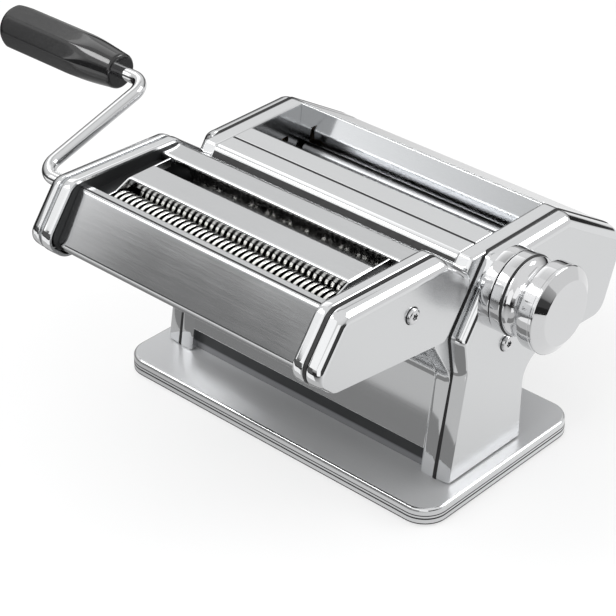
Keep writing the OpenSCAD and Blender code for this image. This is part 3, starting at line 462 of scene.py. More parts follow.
def pressed_shell(name, outer, inner, holes, material, body, stands_for):
    """Outer and inner are rings (step, point, 3) from rim to face; holes are [y, z, radius].

    The walls are quads between rings, and each flat face, with its holes, is cut into triangles.
    Faces that look straight along X are the lapped ones.
    """
    steps, count = outer.shape[:2]
    inside = steps * count
    points = [outer.reshape(-1, 3), inner.reshape(-1, 3)]
    faces = ring_faces(steps, count)
    faces += [[inside + f for f in q] for q in ring_faces(inner.shape[0], count)]
    faces += [[j, (j + 1) % count, inside + (j + 1) % count, inside + j] for j in range(count)]
    start = inside + inner.shape[0] * count
    lids = []
    for rings, first in ((outer, inside - count), (inner, start - count)):
        lids.append([[rings[-1]], [np.arange(first, first + count)]])
    for y, z, r in holes:
        for lid, rings in zip(lids, (outer, inner)):
            lid[0].append(circle((y, z), r, rings[-1, 0, 0]))
            lid[1].append(np.arange(start, start + ROUND))
            points.append(lid[0][-1])
            start += ROUND
        faces += [[start - 2 * ROUND + f for f in q] for q in ring_faces(2, ROUND)]
    for loops, index in lids:
        order = np.concatenate(index)
        flat = tessellate_polygon([[Vector((p[1], p[2], 0)) for p in loop] for loop in loops])
        faces += [[int(order[i]) for i in t] for t in flat]
    piece = finish_mesh(name, np.concatenate(points), faces, material, body, stands_for)
    second_finish(piece, flat_chrome, lambda normal: normal[:, 0] > 0.9999)
    return piece


# %% Sheet helpers
def pulled_in(corners, inset):
    """Corners of an anticlockwise outline moved inwards by inset, left sharp."""
    p = np.array(corners, float)
    u, w = unit(p - np.roll(p, 1, 0)), unit(np.roll(p, -1, 0) - p)
    nu, nw = np.stack([-u[:, 1], u[:, 0]], -1), np.stack([-w[:, 1], w[:, 0]], -1)
    return p + inset * (nu + nw) / (1 + (nu * nw).sum(1))[:, None]


def folded(path, radii, thick):
    """Corners and radii of a sheet whose thickness lies to the left of an open path.

    A bend's two sides share one centre, so the far radius is the near one less or plus the
    thickness. Neither goes under 0.35 mm.
    """
    p = np.array(path, float)
    d = unit(np.diff(p, axis=0))
    u, w = np.vstack([d[:1], d]), np.vstack([d, d[-1:]])
    nu, nw = np.stack([-u[:, 1], u[:, 0]], -1), np.stack([-w[:, 1], w[:, 0]], -1)
    q = p + thick * (nu + nw) / (1 + (nu * nw).sum(1))[:, None]
    bulge = np.sign(u[:, 0] * w[:, 1] - u[:, 1] * w[:, 0])
    r = np.array(radii, float)
    near = np.where(r > 0, r, 0.35)
    far = np.where(r > 0, np.maximum(r - bulge * thick, 0.35), 0.35)
    return np.vstack([p, q[::-1]]), np.concatenate([near, far[::-1]])


def sheet_piece(name, path, radii, thick, half, material, body, stands_for=()):
    """A folded sheet from -half to half, its cut edges softened by 0.2 mm."""
    corners, r = folded(path, radii, thick)
    profile = [(-half, 0.2), (-half + 0.2, 0.0), (half - 0.2, 0.0), (half, 0.2)]
    rings = np.stack([at_x(outline(corners, r, t, 10), x) for x, t in profile])
    return rings_piece(name, rings, material, body, stands_for)


def bar(name, corners, half, material, body):
    """A straight bar from -half to half, its section given by sharp [y, z] corners."""
    rings = np.stack([at_x(corners, x) for x in (-half, half)])
    return rings_piece(name, rings, material, body)


SKIN = pulled_in(BODY, 0.3)
print("skin corners", np.round(SKIN, 1).tolist())

# %% [markdown]
# ## Base
# The base is a pressed tray of chromed steel, hollow below, with a rounded top edge and one thin
# groove that runs round its side. Its flat top is satin, its side and edge are polished. Its
# profile is swept round a rounded rectangle. The table clamp's hole in the rear is cut with a
# Boolean, which is the simplest way to open one wall of a finished shell.


# %% Base tray
def plan_ring(z, inset):
    """Rounded rectangle of the base, pulled in by inset, at height z."""
    box = [[-115, -65], [115, -65], [115, 65], [-115, 65]]
    loop = outline(box, [15] * 4, inset, 20)
    return np.concatenate([loop, np.full((len(loop), 1), z)], 1)


def peg(start, end, radius, count=40):
    """A plain cylinder from start to end in millimetres, used only to cut with."""
    a, b = np.array(start, float), np.array(end, float)
    axis = unit(b - a)
    side = unit(np.cross(axis, [0.3, 0.5, 0.8]))
    angle = np.linspace(0, 2 * np.pi, count, endpoint=False)
    ring = np.cos(angle)[:, None] * side + np.sin(angle)[:, None] * np.cross(axis, side)
    return rings_piece("peg", np.stack([a + radius * ring, b + radius * ring]), zinc, "machine")


def drilled(piece, tool):
    """Cuts the tool out of the piece for good, and removes it."""
    piece.modifiers.clear()
    cut = piece.modifiers.new("cut", "BOOLEAN")
    cut.object, cut.operation, cut.solver = tool, "DIFFERENCE", "EXACT"
    shown = piece.evaluated_get(bpy.context.evaluated_depsgraph_get())
    mesh = bpy.data.meshes.new_from_object(shown)
    piece.modifiers.clear()
    piece.data = mesh
    mesh.set_sharp_from_angle(angle=math.radians(SHARP))
    flatten_normals(piece)
    bpy.data.objects.remove(tool)


arc = np.linspace(0, np.pi / 2, 8)
top_edge = [[9.2 + 2.0 * math.sin(a), 2.0 * (1 - math.cos(a))] for a in arc]
tray = [[10.0, 1.2], [1.7, 1.2], [1.5, 1.0], [1.5, 0.2], [1.7, 0.0], [4.4, 0.0], [4.7, 0.5],
        [5.1, 0.5], [5.4, 0.0]]
base = rings_piece("base_tray", np.stack([plan_ring(z, t) for z, t in tray + top_edge]),
                   base_chrome, "machine", ("base_plate",))
drilled(base, peg((0, 60, 5.3), (0, 70, 5.3), 4.7))
second_finish(base, chrome, lambda normal: normal[:, 2] < 0.99)
print("base tray:", len(base.data.polygons), "faces")

# %% [markdown]
# ## Body sides
# Each side is a polished rim and, standing out of it, a raised cover with a rounded edge. The
# right side has the knob's hole and the left side the hole of the rear roller's drive socket.

# %% Rims and covers
rim = [[INNER, 0.55], [86.9, 0.3], [87.6, 0.12], [88.6, 0.0], [93.4, 0.0], [94.6, 0.1],
       [95.5, 0.3], [96.0, 0.6], [96.2, 1.0]]
rim_lining = [[INNER, 1.5], [94.7, 1.5]]
cover = [[96.2, 0.0]] + bevel(98.2, COVER_FACE, 1.0, 14)
cover_lining = [[96.2, 0.3], [99.0, 0.35], [104.2, 1.3]]
for side, name in SIDES:
    at = KNOB_AXIS if side > 0 else REAR_AXIS
    rim_hole, cover_hole = (6.2, 6.0) if side > 0 else (10.0, 9.0)
    pressed_shell("rim_" + name, swept(BODY, BODY_R, rim, side),
                  swept(BODY, BODY_R, rim_lining, side), [[*at, rim_hole]], chrome, "machine",
                  ("side_rim_" + name,))
    pressed_shell("cover_" + name, swept(COVER, COVER_R, cover, side, COVER_EDGE),
                  swept(COVER, COVER_R, cover_lining, side, COVER_EDGE), [[*at, cover_hole]],
                  chrome, "machine", ("side_cover_" + name,))
print("rims and covers made")

# %% [markdown]
# A dark line of painted shade lies in the crease at the foot of each raised cover: a narrow ring,
# half a millimetre proud of the cover's flank, that keeps the line black from every side. Three
# thin lines run round the base's side, as open bands that stand a hair out of the steel: the middle
# one, in its groove, is painted shade, and the outer two, on the plain polished side, are painted
# reflections.

# %% Dark lines round the covers and the base
foot_line = [[95.0, 1.6], [95.0, -0.3], [95.3, -0.5], [96.9, -0.5], [97.1, -0.3], [97.1, 0.6]]
# The foot lines are painted shade.
for side, name in SIDES:
    rings_piece("groove_line_" + name, swept(COVER, COVER_R, foot_line, side), groove, "machine")
# The middle base line is painted shade and the outer two are painted reflections.
for number, (low, high) in enumerate(((1.5, 2.1), (4.45, 5.3), (6.5, 7.1))):
    band = [[low, 0.8], [low, -0.04], [high, -0.04], [high, 0.8]]
    rings_piece(f"base_side_line_{number}", np.stack([plan_ring(z, t) for z, t in band]), groove,
                "machine", ends=(False, False))
print("groove lines made")

# %% [markdown]
# ## Body sheets
# Folded sheets close the body between the sides. The front sheet starts as a rounded strip on top,
# turns down the slope behind the cutter and ends above a dark recess. The top plate and the
# hopper's wall slope to the rollers, and a duller casing curves round behind. A dark line marks
# the joint on top, and a dark strip, 0.3 mm thick on the slope, stands for the shadow in the gap
# behind the cutter.

# %% Sheets between the sides
BASE_TOP, SHEET_FOOT = 11.2, 25
low = SKIN[0] + (SKIN[8] - SKIN[0]) * (SHEET_FOOT - BASE_TOP) / (SKIN[8][1] - BASE_TOP)
top = SKIN[6][1]
sheet_piece("front_sheet_skin", [[-0.6, top], SKIN[6], SKIN[7], SKIN[8], low], [0, 5, 4, 14, 0],
            1.2, INNER, bright_sheet, "machine", ("front_sheet",))
sheet_piece("top_plate_skin", [[43.1, 113.4], [43.5, 118.4], [14.8, top], [0.6, top],
                               [0.6, top - 6]],
            [0, 1.5, 3, 0.6, 0], 1.2, INNER, bright_sheet, "machine", ("top_plate",))
sheet_piece("hopper_wall", [[56.8, top], [54.8, 115.4]], [0, 0], 1.2, INNER, bright_sheet,
            "machine", ("hopper_plate",))
sheet_piece("rear_skin", [[64, SKIN[3][1] + 1.9], SKIN[3], SKIN[4], SKIN[5], [58.2, top]],
            [0, 12, 14, 0.5, 0], 1.2, INNER, stainless, "machine", ("rear_casing",))
joint = [[-0.75, top - 1.2], [0.75, top - 1.2], [0.75, top + 0.03], [-0.75, top + 0.03]]
bar("top_joint_line", joint, 86.3, groove, "machine")
slope = unit(SKIN[7] - SKIN[6])
seat = np.array([SKIN[6] + 3.2 * slope, SKIN[6] + 16 * slope])
proud = 0.3 * np.array([slope[1], -slope[0]])
bar("cutter_seat_strip", np.vstack([seat, seat[::-1] + proud]), 86.2, groove, "machine")
print("body sheets made")

# %% [markdown]
# ## Smooth rollers
# The two rollers are turned aluminium with a small chamfer at each end of the barrel, their colour
# painted darker than the metal as shade, for the dark inside the hopper. A lathe profile of axial
# position and radius makes each of them, journals and drive socket in one go.

# %% Lathe pieces
SOCKET_DEPTH = 24.5


def lathe(name, centre, profile, material, body, stands_for=(), count=96):
    """Piece turned about an X axis at the [y, z] centre, from [x, radius] pairs."""
    return rings_piece(name, turned_rings(centre, profile, count), material, body, stands_for)


def socket_end(x, hub):
    """Profile of a hub's end at x with the crank's bore, from the bore's floor outwards."""
    floor_x = x + SOCKET_DEPTH
    return [[floor_x, 0], [floor_x, 3.95], [x + 19, 4.06], [x + 0.4, 4.06], [x, 4.5],
            [x, hub - 0.5], [x + 0.5, hub]]


barrel = [[-84, 8], [-84, 16.6], [-83.6, 17], [83.6, 17], [84, 16.6], [84, 8]]
lathe("rear_roller_turned", REAR_AXIS,
      socket_end(-104.2, 8.0) + barrel + [[92.6, 8], [93, 7.6], [93, 0]],
      anodised_painted_shade, "rear_roller", ("rear_roller",))
lathe("front_roller_turned", FRONT_AXIS,
      [[-102.6, 0], [-102.6, 7.6], [-102.2, 8]] + barrel + [[94.8, 8], [95.2, 7.6], [95.2, 0]],
      anodised_painted_shade, "front_roller", ("front_roller",))
print("smooth rollers turned")

# %% [markdown]
# ## Cutter attachment
# The caps are pressed like the body covers: a rim, a groove, and a raised face with a soft edge.
# The left cap has two holes for the crank's sockets. The right cap's groove is filled with a dark
# line of painted shade, and the left one's is left bare.

# %% Cutter caps
cap_rim = [[INNER, 0.7], [86.8, 0.4], [87.6, 0.15], [88.6, 0.0], [91.2, 0.0], [92.1, 0.15],
           [92.6, 0.5], [92.8, 1.0], [92.8, 2.6], [94.9, 2.6], [94.9, 1.2], [95.2, 0.75]]
cap_lining = [[INNER, 2.0], [92.0, 2.0], [92.2, 3.6], [95.4, 3.6], [97.0, 4.5], [101.6, 12.0]]
cap_line = [[92.83, 2.0], [92.83, 0.6], [94.87, 0.6], [94.87, 2.0]]
raised = [(x, 0.5 + t * np.array(CAP_EDGE)) for x, t in bevel(95.6, CAP_FACE, 1.0, 16)]
for side, name in SIDES:
    shell = np.concatenate([swept(CAP, CAP_R, cap_rim, side), swept(CAP, CAP_R, raised, side)])
    holes = [] if side > 0 else [[*NARROW_DRIVE, 8.0], [*WIDE_DRIVE, 8.0]]
    pressed_shell("cutter_cap_shell_" + name, shell, swept(CAP, CAP_R, cap_lining, side), holes,
                  chrome, "cutter", ("cutter_cap_" + name,))
    if side > 0:
        rings_piece("cap_groove_line_" + name, swept(CAP, CAP_R, cap_line, side), groove, "cutter")
print("cutter caps made")

# %% [markdown]
# The panels are folded stainless sheet: the front panel has a rolled lip at the top, marked by a
# dark seam, and a return below. The middle guide and the rear panel turn down into the feed slots.

# %% Cutter panels
sheet_piece("front_panel_skin", [[-109, 146], [-109.5, 150.9], [-115.8, 151.4], [-133.6, 124.6],
                                 [-130.6, 119.6], [-121, 118.9]],
            [0, 1.2, 3.6, 2.6, 2.0, 0], 1.0, INNER, stainless, "cutter", ("cutter_front_panel",))
bar("front_panel_seam", [[-115.1, 150.9], [-114.2, 151.0], [-114.2, 151.45], [-115.1, 151.35]],
    86.3, groove, "cutter")
sheet_piece("mid_guide_skin", [[-69.5, 146.4], [-69.5, 150], [-88.7, 150], [-88.7, 145.5]],
            [0, 1.5, 1.5, 0], 1.0, 77.0, stainless, "cutter", ("cutter_mid_guide",))
sheet_piece("rear_panel_skin", [[-41.3, 105.4], [-19.9, 133.5], [-42.6, 149.6], [-57, 150],
                                [-55.5, 131]],
            [0, 6, 4, 1.5, 0], 1.0, INNER, stainless, "cutter", ("cutter_rear_panel",))
print("cutter panels made")

# %% Side guides
cheek = [[-107, 144.6], [-58, 144.6], [-58, 149.6], [-89, 149.6], [-98.5, 145.8], [-107, 145.8]]
shelf = [[-107, 144.6], [-58, 144.6], [-58, 145.8], [-107, 145.8]]
cheek_wall = [(77.0, 0.15), (77.15, 0.0), (77.85, 0.0), (78.0, 0.15)]
shelf_wall = [(78.0, 0.1), (78.1, 0.0), (INNER, 0.0)]
# The shelves take the dark sheet, painted shade, for the dark between the guides and the caps.
for side, name in SIDES:
    rings_piece("side_guide_" + name, swept(cheek, [0.4] * 6, cheek_wall, side), stainless,
                "cutter", ("cutter_side_guides",) if side > 0 else ())
    rings_piece("side_shelf_" + name, swept(shelf, [0.4] * 4, shelf_wall, side), shadow_sheet,
                "cutter")
print("side guides made")

# %% [markdown]
# ## Cutting rollers
# A row of discs on a core. The discs of a pair sit half a pitch apart and pass into each other's
# gaps, which is what cuts the strands. Each disc has a 0.2 mm land broken off its two edges, so
# every rim catches light.

# %% Disc rollers
CORE_END, DISC_GAP, LAND = 76.5, 0.06, 0.2


def disc_profile(pitch, count, start, disc_r, core_r):
    """[x, radius] pairs of a row of discs, the first one's middle at start, with broken edges."""
    half = (pitch / 2 - DISC_GAP) / 2
    x = start + pitch * np.arange(count)
    steps = np.array([[-half, core_r], [-half, disc_r - LAND], [-half + LAND, disc_r],
                      [half - LAND, disc_r], [half, disc_r - LAND], [half, core_r]])
    pairs = steps[None] + np.stack([x, np.zeros(count)], -1)[:, None]
    return [[-CORE_END, core_r]] + pairs.reshape(-1, 2).tolist() + [[CORE_END, core_r]]


def cutting_roller(name, centre, discs, disc_r, driven_by_crank):
    """Journals, shoulders and, on a crank-driven roller, the socket, round a row of discs."""
    if driven_by_crank:
        left = socket_end(-101.6, 7.0) + [[-CORE_END, 7.0]]
    else:
        left = [[-89.4, 0], [-89.4, 5], [-85.8, 5], [-85.8, 6.2], [-CORE_END, 6.2]]
    right_end = [[CORE_END, 6.2], [85.8, 6.2], [85.8, 5], [94.7, 5], [95, 4.7], [95, 0]]
    # This steel carries painted shade between the discs.
    steel = disc_steel_painted_shade(name + "_steel", centre, disc_r - 1.6, disc_r - 0.15)
    return lathe(name + "_turned", centre, left + discs + right_end, steel, name,
                 (name + "_roller",), 72)


NARROW, WIDE = (4.0, 11.6, 9.4), (13.0, 8.5, 6.3)
ROWS = (
    ("narrow_drive", NARROW_DRIVE, NARROW, 38, -74.0, True),
    ("narrow_driven", NARROW_DRIVEN, NARROW, 37, -72.0, False),
    ("wide_drive", WIDE_DRIVE, WIDE, 12, -71.5, True),
    ("wide_driven", WIDE_DRIVEN, WIDE, 11, -65.0, False),
)
for name, centre, (pitch, disc_r, core_r), count, start, crank in ROWS:
    discs = disc_profile(pitch, count, start, disc_r, core_r)
    made = cutting_roller(name, centre, discs, disc_r, crank)
    print(name, len(made.data.polygons), "faces")

# %% [markdown]
# ## Knob
# The regulator knob is turned and chromed: a flange against the index ring, a fine groove, a waist
# that dips and flares out again, and a front disc with a second fine groove, a bevel and a flat
# face. The waist's two halves are parabolas, and the bevel starts with an arc. A dark line of
# painted shade lies in the groove behind the waist, open at both ends so that nothing closes off
# the knob's inside.


# %% Knob and index ring
def fillet(x, r, radius, a0, a1, steps=7):
    """Arc of the profile about (x, r) from angle a0 to a1 in degrees."""
    a = np.radians(np.linspace(a0, a1, steps))
    return np.stack([x + radius * np.cos(a), r + radius * np.sin(a)], -1).tolist()


index_ring = [[COVER_FACE, 7], [COVER_FACE, 22.7], [106.0, 22.9], [108.0, 22.9], [111.4, 22.7],
              [112.0, 22.5], [112.2, 22.0], [112.2, 17.8], [109.7, 17.8], [109.7, 14.2],
              [112.2, 14.2], [112.2, 7.2], [112.0, 7], [COVER_FACE, 7]]
lathe("index_ring_turned", KNOB_AXIS, index_ring, rod_chrome, "machine", ("index_ring",))

WAIST_X, WAIST_R = 126.4, 19.9
waist = [[112.7, 0], [112.7, 22.3], [113.0, 22.8], [113.4, 22.9], [118.6, 22.9], [119.1, 22.7],
         [119.3, 22.2], [119.4, 21.4], [119.9, 21.4], [120.1, 21.9], [120.6, 22.1], [121.6, 22.0]]
waist += [[x, WAIST_R + 2.1 * ((WAIST_X - x) / 4.8) ** 2] for x in (122.6, 123.6, 124.8, WAIST_X)]
waist += [[x, WAIST_R + 2.7 * ((x - WAIST_X) / 3.8) ** 2] for x in (127.6, 128.6, 129.4, 130.0)]
drum = [[130.4, 22.9], [130.7, 23.6], [131.2, 24.2], [131.9, 24.45], [134.0, 24.5], [138.4, 24.5],
        [138.6, 24.2], [138.9, 24.2], [139.1, 24.5], [140.0, 24.5]]
nose = fillet(139.6, 23.1, 1.4, 80, 38, 6) + [[144.2, 18.4], [144.5, 18.05], [144.7, 17.5],
                                              [144.7, 0]]
lathe("knob_turned", KNOB_AXIS, waist + drum + nose, rod_chrome, "knob",
      ("knob_body", "knob_cap"), 144)
knob_line = [[119.0, 21.6], [119.0, 22.6], [119.2, 22.75], [119.9, 22.3], [120.1, 22.0],
             [120.1, 21.6], [119.0, 21.6]]
rings_piece("knob_groove_line", turned_rings(KNOB_AXIS, knob_line, 144), groove, "knob",
            ends=(False, False))
print("knob turned")

# %% [markdown]
# ## Crank
# The rod is bent from 8 mm bar: straight into its socket, a bend, the arm, a second bend, and the
# grip's axle. The tube is a circle carried along that line; the line stays in one plane, so the
# circle's two axes are the line's own normal and the plane's. A small hexagon at its tip drives
# the roller.

# %% Crank rod
BEND_R, ARM, TILT = 11.0, 85.5, math.radians(16.7)
ROD_R, HEX_R = 4.0, 3.9
STRAIGHT, AXLE_END = 54.4, -103
CRANK_PLACE = np.array([-138.5, -98.0, 134.3])


def from_crank(p):
    """Points of the crank's own frame, its arm along +Y, tilted and put in place."""
    c, s = math.cos(TILT), math.sin(TILT)
    turned_y, turned_z = c * p[..., 1] - s * p[..., 2], s * p[..., 1] + c * p[..., 2]
    return np.stack([p[..., 0], turned_y, turned_z], -1) + CRANK_PLACE


def bend(centre, a0, a1, steps=17):
    """Quarter circle of the rod's line about centre."""
    a = np.radians(np.linspace(a0, a1, steps))
    return np.stack([centre[0] + BEND_R * np.cos(a), centre[1] + BEND_R * np.sin(a), 0 * a], -1)


line = np.vstack([[[STRAIGHT, 0, 0]], bend((BEND_R, BEND_R), 270, 180),
                  bend((-BEND_R, ARM - BEND_R), 0, 90), [[AXLE_END, ARM, 0]]])
ahead = unit(np.gradient(line, axis=0))
ahead[[0, -1]] = [[-1, 0, 0], [-1, 0, 0]]
across = np.stack([-ahead[:, 1], ahead[:, 0], 0 * ahead[:, 0]], -1)
angle = np.linspace(0, 2 * np.pi, 40, endpoint=False)
spin = (np.cos(angle)[None, :, None] * across[:, None]
        + np.sin(angle)[None, :, None] * np.array([0, 0, 1.0]))
rings_piece("crank_rod_bent", from_crank(line[:, None] + ROD_R * spin), rod_chrome, "crank",
            ("crank_rod",))
sixths = [math.radians(60 * i) for i in range(6)]
hexagon = np.array([[HEX_R * math.cos(a), HEX_R * math.sin(a)] for a in sixths])
tip = np.stack([at_x(np.array(NARROW_DRIVE) + hexagon * k, x)
                for x, k in ((-84.6, 1), (-77.9, 1), (-77.5, 0.85))])
rings_piece("crank_drive_tip", tip, rod_chrome, "crank", sharp=20)
print("rod line", len(line), "points")

# %% [markdown]
# The grip is an octagon that runs out into a round neck. Its radius at each angle is the smaller
# of the octagon's and of the turned profile's, taken softly: the inverse powers are added, which
# rounds the eight edges a little, as a mould does.

# %% Grip
GRIP_START, OCTAGON_R, EIGHTH, POWER = -21.0, 14, math.pi / 8, 40.0
along = np.concatenate([np.linspace(0, 40, 34), np.linspace(41, 84, 22), np.linspace(84.5, 96, 30)])
turned = np.interp(along, [0, 0.6, 1.4, 34.6, 87, 90, 92, 94, 95.3, 95.9, 96],
                   [9.0, 10.0, 10.5, 14.4, 14.4, 13.3, 11.9, 9.4, 6.4, 3.0, 0.5])
theta = np.linspace(0, 2 * np.pi, 160, endpoint=False)
octagon = OCTAGON_R * math.cos(EIGHTH) / np.cos((theta + EIGHTH) % (math.pi / 4) - EIGHTH)
reach = (octagon[None] ** -POWER + turned[:, None] ** -POWER) ** (-1 / POWER)
grip = np.stack([GRIP_START - along[:, None] + 0 * reach, ARM + reach * np.cos(theta),
                 reach * np.sin(theta)], -1)
rings_piece("grip_moulded", from_crank(grip), phenolic, "grip", ("crank_grip",), sharp=60)
print("grip", grip.shape[:2])

# %% [markdown]
# ## Screws
# Pan-head screws with a six-lobed recess. The recess is a ring whose radius waves six times round,
# let down into the head. A dark ring of painted shadow fills the gap round each head, and a dark
# disc of painted shade lies on the recess's floor.

# %% Screws
SCREWS = (
    ("cover", COVER_FACE, COVER_SCREW, "machine", "cover_screws"),
    ("cap", CAP_FACE, CAP_SCREW, "cutter", "cutter_screws"),
)
LOBE_STEPS = 72


def screw_head(name, side, x, centre, body, stands_for):
    """Pan head at x with a lobed recess 1.3 mm deep and a short shank behind it."""
    a = np.linspace(0, 2 * np.pi, LOBE_STEPS, endpoint=False)
    lobes = 1.75 * (1 + 0.17 * np.cos(6 * a))
    plain = [[-3.0, 0.01], [-3.0, 2.0], [0, 2.0], [0, 4.2], [0.15, 4.4], [0.9, 4.4]]
    plain += [[0.9 + 1.3 * math.sin(t), 4.4 - 1.5 * (1 - math.cos(t))]
              for t in np.linspace(0.2, 1.57, 7)]
    radii = [np.full(LOBE_STEPS, r) for _, r in plain]
    radii += [lobes + 0.12, lobes, lobes, np.full(LOBE_STEPS, 0.01)]
    places = [p for p, _ in plain] + [2.2, 2.08, 0.9, 0.9]
    way = np.stack([np.cos(a), np.sin(a)], -1)
    rings = np.stack([at_x(np.array(centre) + r[:, None] * way, side * (x + p))
                      for r, p in zip(radii, places)])
    return rings_piece(name, rings, screw_steel, body, stands_for)


for side, name in SIDES:
    for what, x, centre, body, node in SCREWS:
        screw_head(f"{what}_screw_{name}", side, x, centre, body, (node,) if side > 0 else ())
    # The ring round each head is painted shadow and the disc in its recess is painted shade.
    for what, x, centre, body, _ in SCREWS:
        gap = [[x - 0.3, 4.3], [x + 0.1, 4.3], [x + 0.1, 4.95], [x - 0.3, 4.95], [x - 0.3, 4.3]]
        recess_shade = [[x + 0.7, 0], [x + 0.7, 1.6], [x + 0.95, 1.6], [x + 0.95, 0]]
        for part, profile, closed in (("gap", gap, False), ("recess", recess_shade, True)):
            rings = turned_rings(centre, [[side * a, r] for a, r in profile], ROUND)
            rings_piece(f"{what}_screw_{part}_{name}", rings, groove, body, ends=(closed, closed))
print("screws made")

# %% [markdown]
# ## Studio
# Polished metal shows its surroundings, so the room matters as much as the lamps. To the camera
# the floor is mostly an even white glow, with enough plain diffuse paint left in it to keep the
# object's shadow. What the metal sees of it fades with distance, so that low reflections turn
# dark, as at the end of a studio table. From here on lengths are metres.

# %% Floor
FLOOR_NEAR, FLOOR_FAR = 0.92, 0.03
FADE_CENTRE, FADE_FROM, FADE_TO = (0.6, 0.8, 0), 0.85, 1.5
CAMERA_GLOW = 0.62
floor_mesh = bpy.data.meshes.new("studio_floor")
floor_mesh.from_pydata([(-4, -4, 0), (4, -4, 0), (4, 4, 0), (-4, 4, 0)], [], [[0, 1, 2, 3]])
floor = bpy.data.objects.new("studio_floor", floor_mesh)
bpy.context.scene.collection.objects.link(floor)
floor_paint = bpy.data.materials.new("pale_studio_floor")
floor_paint.use_nodes = True
tree = floor_paint.node_tree
tree.nodes.clear()
diffuse = add(tree, "ShaderNodeBsdfDiffuse", {"Color": (0.86, 0.86, 0.86, 1)}).outputs[0]
path = add(tree, "ShaderNodeLightPath").outputs
seen = add(tree, "ShaderNodeMath", {0: path["Is Camera Ray"], 1: path["Is Transmission Ray"]},
           operation="MAXIMUM").outputs[0]
place = add(tree, "ShaderNodeTexCoord").outputs["Object"]
far = add(tree, "ShaderNodeVectorMath", {0: place, 1: FADE_CENTRE},
          operation="DISTANCE").outputs["Value"]
fading = add(tree, "ShaderNodeMapRange",
             {0: far, 1: FADE_FROM, 2: FADE_TO, 3: FLOOR_NEAR, 4: FLOOR_FAR}).outputs[0]
strength = add(tree, "ShaderNodeMix", {0: seen, 2: fading, 3: 1.0}).outputs[0]
glow = add(tree, "ShaderNodeEmission", {"Color": (1, 1, 1, 1), "Strength": strength}).outputs[0]
share = add(tree, "ShaderNodeMath", {0: seen, 1: CAMERA_GLOW}, operation="MULTIPLY").outputs[0]
both = add(tree, "ShaderNodeMath", {0: share, 1: path["Is Glossy Ray"]},
           operation="MAXIMUM").outputs[0]
mixed = add(tree, "ShaderNodeMixShader", {0: both, 1: diffuse, 2: glow}).outputs[0]
add(tree, "ShaderNodeOutputMaterial", {0: mixed})
floor_mesh.materials.append(floor_paint)
print("floor made")

# %% [markdown]
# The world is white to the camera. To everything else it is a soft pale room, bright overhead and
# dark at the horizon, read off the direction's height through a colour ramp.

# %% World
ROOM_SHADES = ((0.0, 0.02), (0.05, 0.03), (0.13, 0.3), (0.3, 0.6), (0.5, 0.88), (0.8, 1.0))
world = bpy.data.worlds.new("studio")
bpy.context.scene.world = world
world.use_nodes = True
tree = world.node_tree
tree.nodes.clear()
direction = add(tree, "ShaderNodeTexCoord").outputs["Generated"]
height = add(tree, "ShaderNodeSeparateXYZ", {0: direction}).outputs[2]
shade = add(tree, "ShaderNodeValToRGB", {0: height})
for position, value in ROOM_SHADES:
    shade.color_ramp.elements.new(position).color = (value, value, value, 1)
shade.color_ramp.elements.remove(shade.color_ramp.elements[0])
shade.color_ramp.elements.remove(shade.color_ramp.elements[-1])
room = add(tree, "ShaderNodeBackground", {0: shade.outputs[0], 1: 0.9}).outputs[0]
white = add(tree, "ShaderNodeBackground", {0: (1, 1, 1, 1), 1: 1.0}).outputs[0]
path = add(tree, "ShaderNodeLightPath").outputs
seen = add(tree, "ShaderNodeMath", {0: path["Is Camera Ray"], 1: path["Is Transmission Ray"]},
           operation="MAXIMUM").outputs[0]
mixed = add(tree, "ShaderNodeMixShader", {0: seen, 1: room, 2: white}).outputs[0]
add(tree, "ShaderNodeOutputWorld", {0: mixed})
print("world set")

# %% [markdown]
# Three soft lamps light the object plainly. The key comes from behind on the right and the fill
# from the front on the left. The third lies low in front, for the base, and reflections don't see
# it.


# %% Lamps
def softbox(name, place, target, size, power):
    """A square area lamp at place that faces target, in metres and watts."""
    lamp = bpy.data.lights.new(name, "AREA")
    lamp.size, lamp.energy = size, power
    holder = bpy.data.objects.new(name, lamp)
    bpy.context.scene.collection.objects.link(holder)
    aim = (Vector(target) - Vector(place)).to_track_quat("-Z", "Y")
    holder.matrix_world = Matrix.Translation(Vector(place)) @ aim.to_matrix().to_4x4()
    return holder


softbox("key_softbox", (0.82, 0.96, 1.0), (0.05, 0.0, 0.12), 0.75, 8.0)
softbox("fill_softbox", (-0.9, -1.0, 1.3), (0, 0, 0.04), 0.8, 14.0)
low_box = softbox("low_softbox", (0.05, -1.1, 0.28), (0.0, -0.05, 0.01), 0.5, 7.0)
low_box.visible_glossy = False
print("lamps placed")

# %% [markdown]
# Chrome looks like chrome by the edges it reflects. Glowing and dark cards stand round the object,
# as a studio sets them up, to draw bright planes and dark lines into the metal, and two dim cards
# on the table under and in front of the cutter are painted shadow, for the shade that lies there.
# Only reflections see them: the camera, the shadows and the diffuse light don't. Each card's
# strength can run from one value to another along X, which gives a plane a soft gradient.


# %% Card helpers
def glowing_card(name, corners, start, end):
    """A flat card with four corners, its strength going from start to end along X."""
    mesh = bpy.data.meshes.new(name)
    mesh.from_pydata(corners, [], [[0, 1, 2, 3]])
    card = bpy.data.objects.new(name, mesh)
    bpy.context.scene.collection.objects.link(card)
    paint = bpy.data.materials.new(name + "_cloth")
    paint.use_nodes = True
    tree = paint.node_tree
    tree.nodes.clear()
    place = add(tree, "ShaderNodeTexCoord").outputs["Object"]
    across = add(tree, "ShaderNodeSeparateXYZ", {0: place}).outputs[0]
    x0, x1 = corners[0][0], corners[1][0]
    strength = add(tree, "ShaderNodeMapRange", {0: across, 1: x0, 2: x1, 3: start, 4: end})
    glow = add(tree, "ShaderNodeEmission",
               {"Color": (1, 1, 1, 1), "Strength": strength.outputs[0]})
    add(tree, "ShaderNodeOutputMaterial", {0: glow.outputs[0]})
    mesh.materials.append(paint)
    card.visible_camera = card.visible_shadow = card.visible_diffuse = False


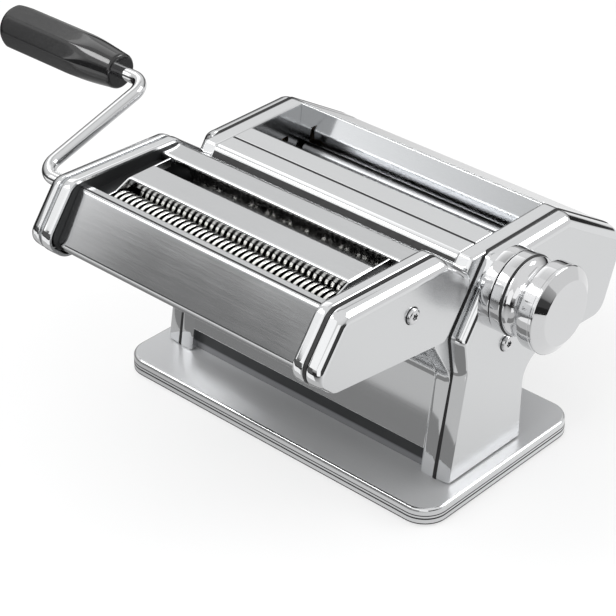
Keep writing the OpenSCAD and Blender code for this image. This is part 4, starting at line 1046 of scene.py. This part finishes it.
def upright(x0, y0, x1, y1, z0, z1):
    """Corners of an upright card over the line from (x0, y0) to (x1, y1)."""
    return [(x0, y0, z0), (x1, y1, z0), (x1, y1, z1), (x0, y0, z1)]


def lying(x0, y0, x1, y1, z):
    """Corners of a level card over the rectangle from (x0, y0) to (x1, y1)."""
    return [(x0, y0, z), (x1, y0, z), (x1, y1, z), (x0, y1, z)]


print("an upright card has", len(upright(0, 0, 1, 0, 0, 1)), "corners")

# %% Cards
CARDS = (
    ("panel_bright", upright(-0.75, -0.62, -0.5, -0.62, 0.3, 0.425), 2.2, 0.25),
    ("panel_grey", upright(-0.5, -0.62, -0.24, -0.62, 0.3, 0.425), 0.22, 0.15),
    ("front_white", upright(-1.2, -0.63, -0.1, -0.63, 0.425, 0.8), 1.1, 1.1),
    ("front_dark", upright(-1.3, -0.63, 0.05, -0.63, 0.05, 0.3), 0.1, 0.12),
    ("table_white", lying(-0.62, -0.6, 0.1, -0.2, 0.001), 1.1, 1.1),
    ("right_white", upright(0.5, -1.0, 0.92, -0.6, 0.02, 0.65), 1.2, 1.2),
    ("cap_white", upright(-0.24, -0.62, 0.3, -0.62, 0.3, 0.8), 1.2, 1.2),
    ("bevel_dark", upright(0.93, -0.58, 1.02, -0.02, 0.0, 0.45), 0.06, 0.06),
    ("rear_white", upright(1.3, 0.3, 0.35, 1.35, 0.0, 0.5), 0.8, 0.8),
    ("right_dark", upright(0.72, -0.25, 0.78, 0.2, 0.0, 0.1), 0.02, 0.02),
    # This card and the next lie on the table and are painted shadow.
    ("cutter_shade", lying(-0.25, -0.137, 0.16, -0.08, 0.0012), 0.26, 0.26),
    ("table_half", lying(-0.35, -0.27, 0.16, -0.137, 0.0013), 0.6, 0.6),
    ("back_left_white", upright(-0.95, 0.6, -0.42, 1.05, 0.5, 1.0), 0.88, 0.88),
    ("overhead_strip", lying(-1.1, 0.0, -0.2, 0.9, 1.1), 2.2, 0.4),
)
for name, corners, start, end in CARDS:
    glowing_card(name, corners, start, end)
bpy.context.scene.view_settings.view_transform = "Standard"
print(len(CARDS), "cards placed")
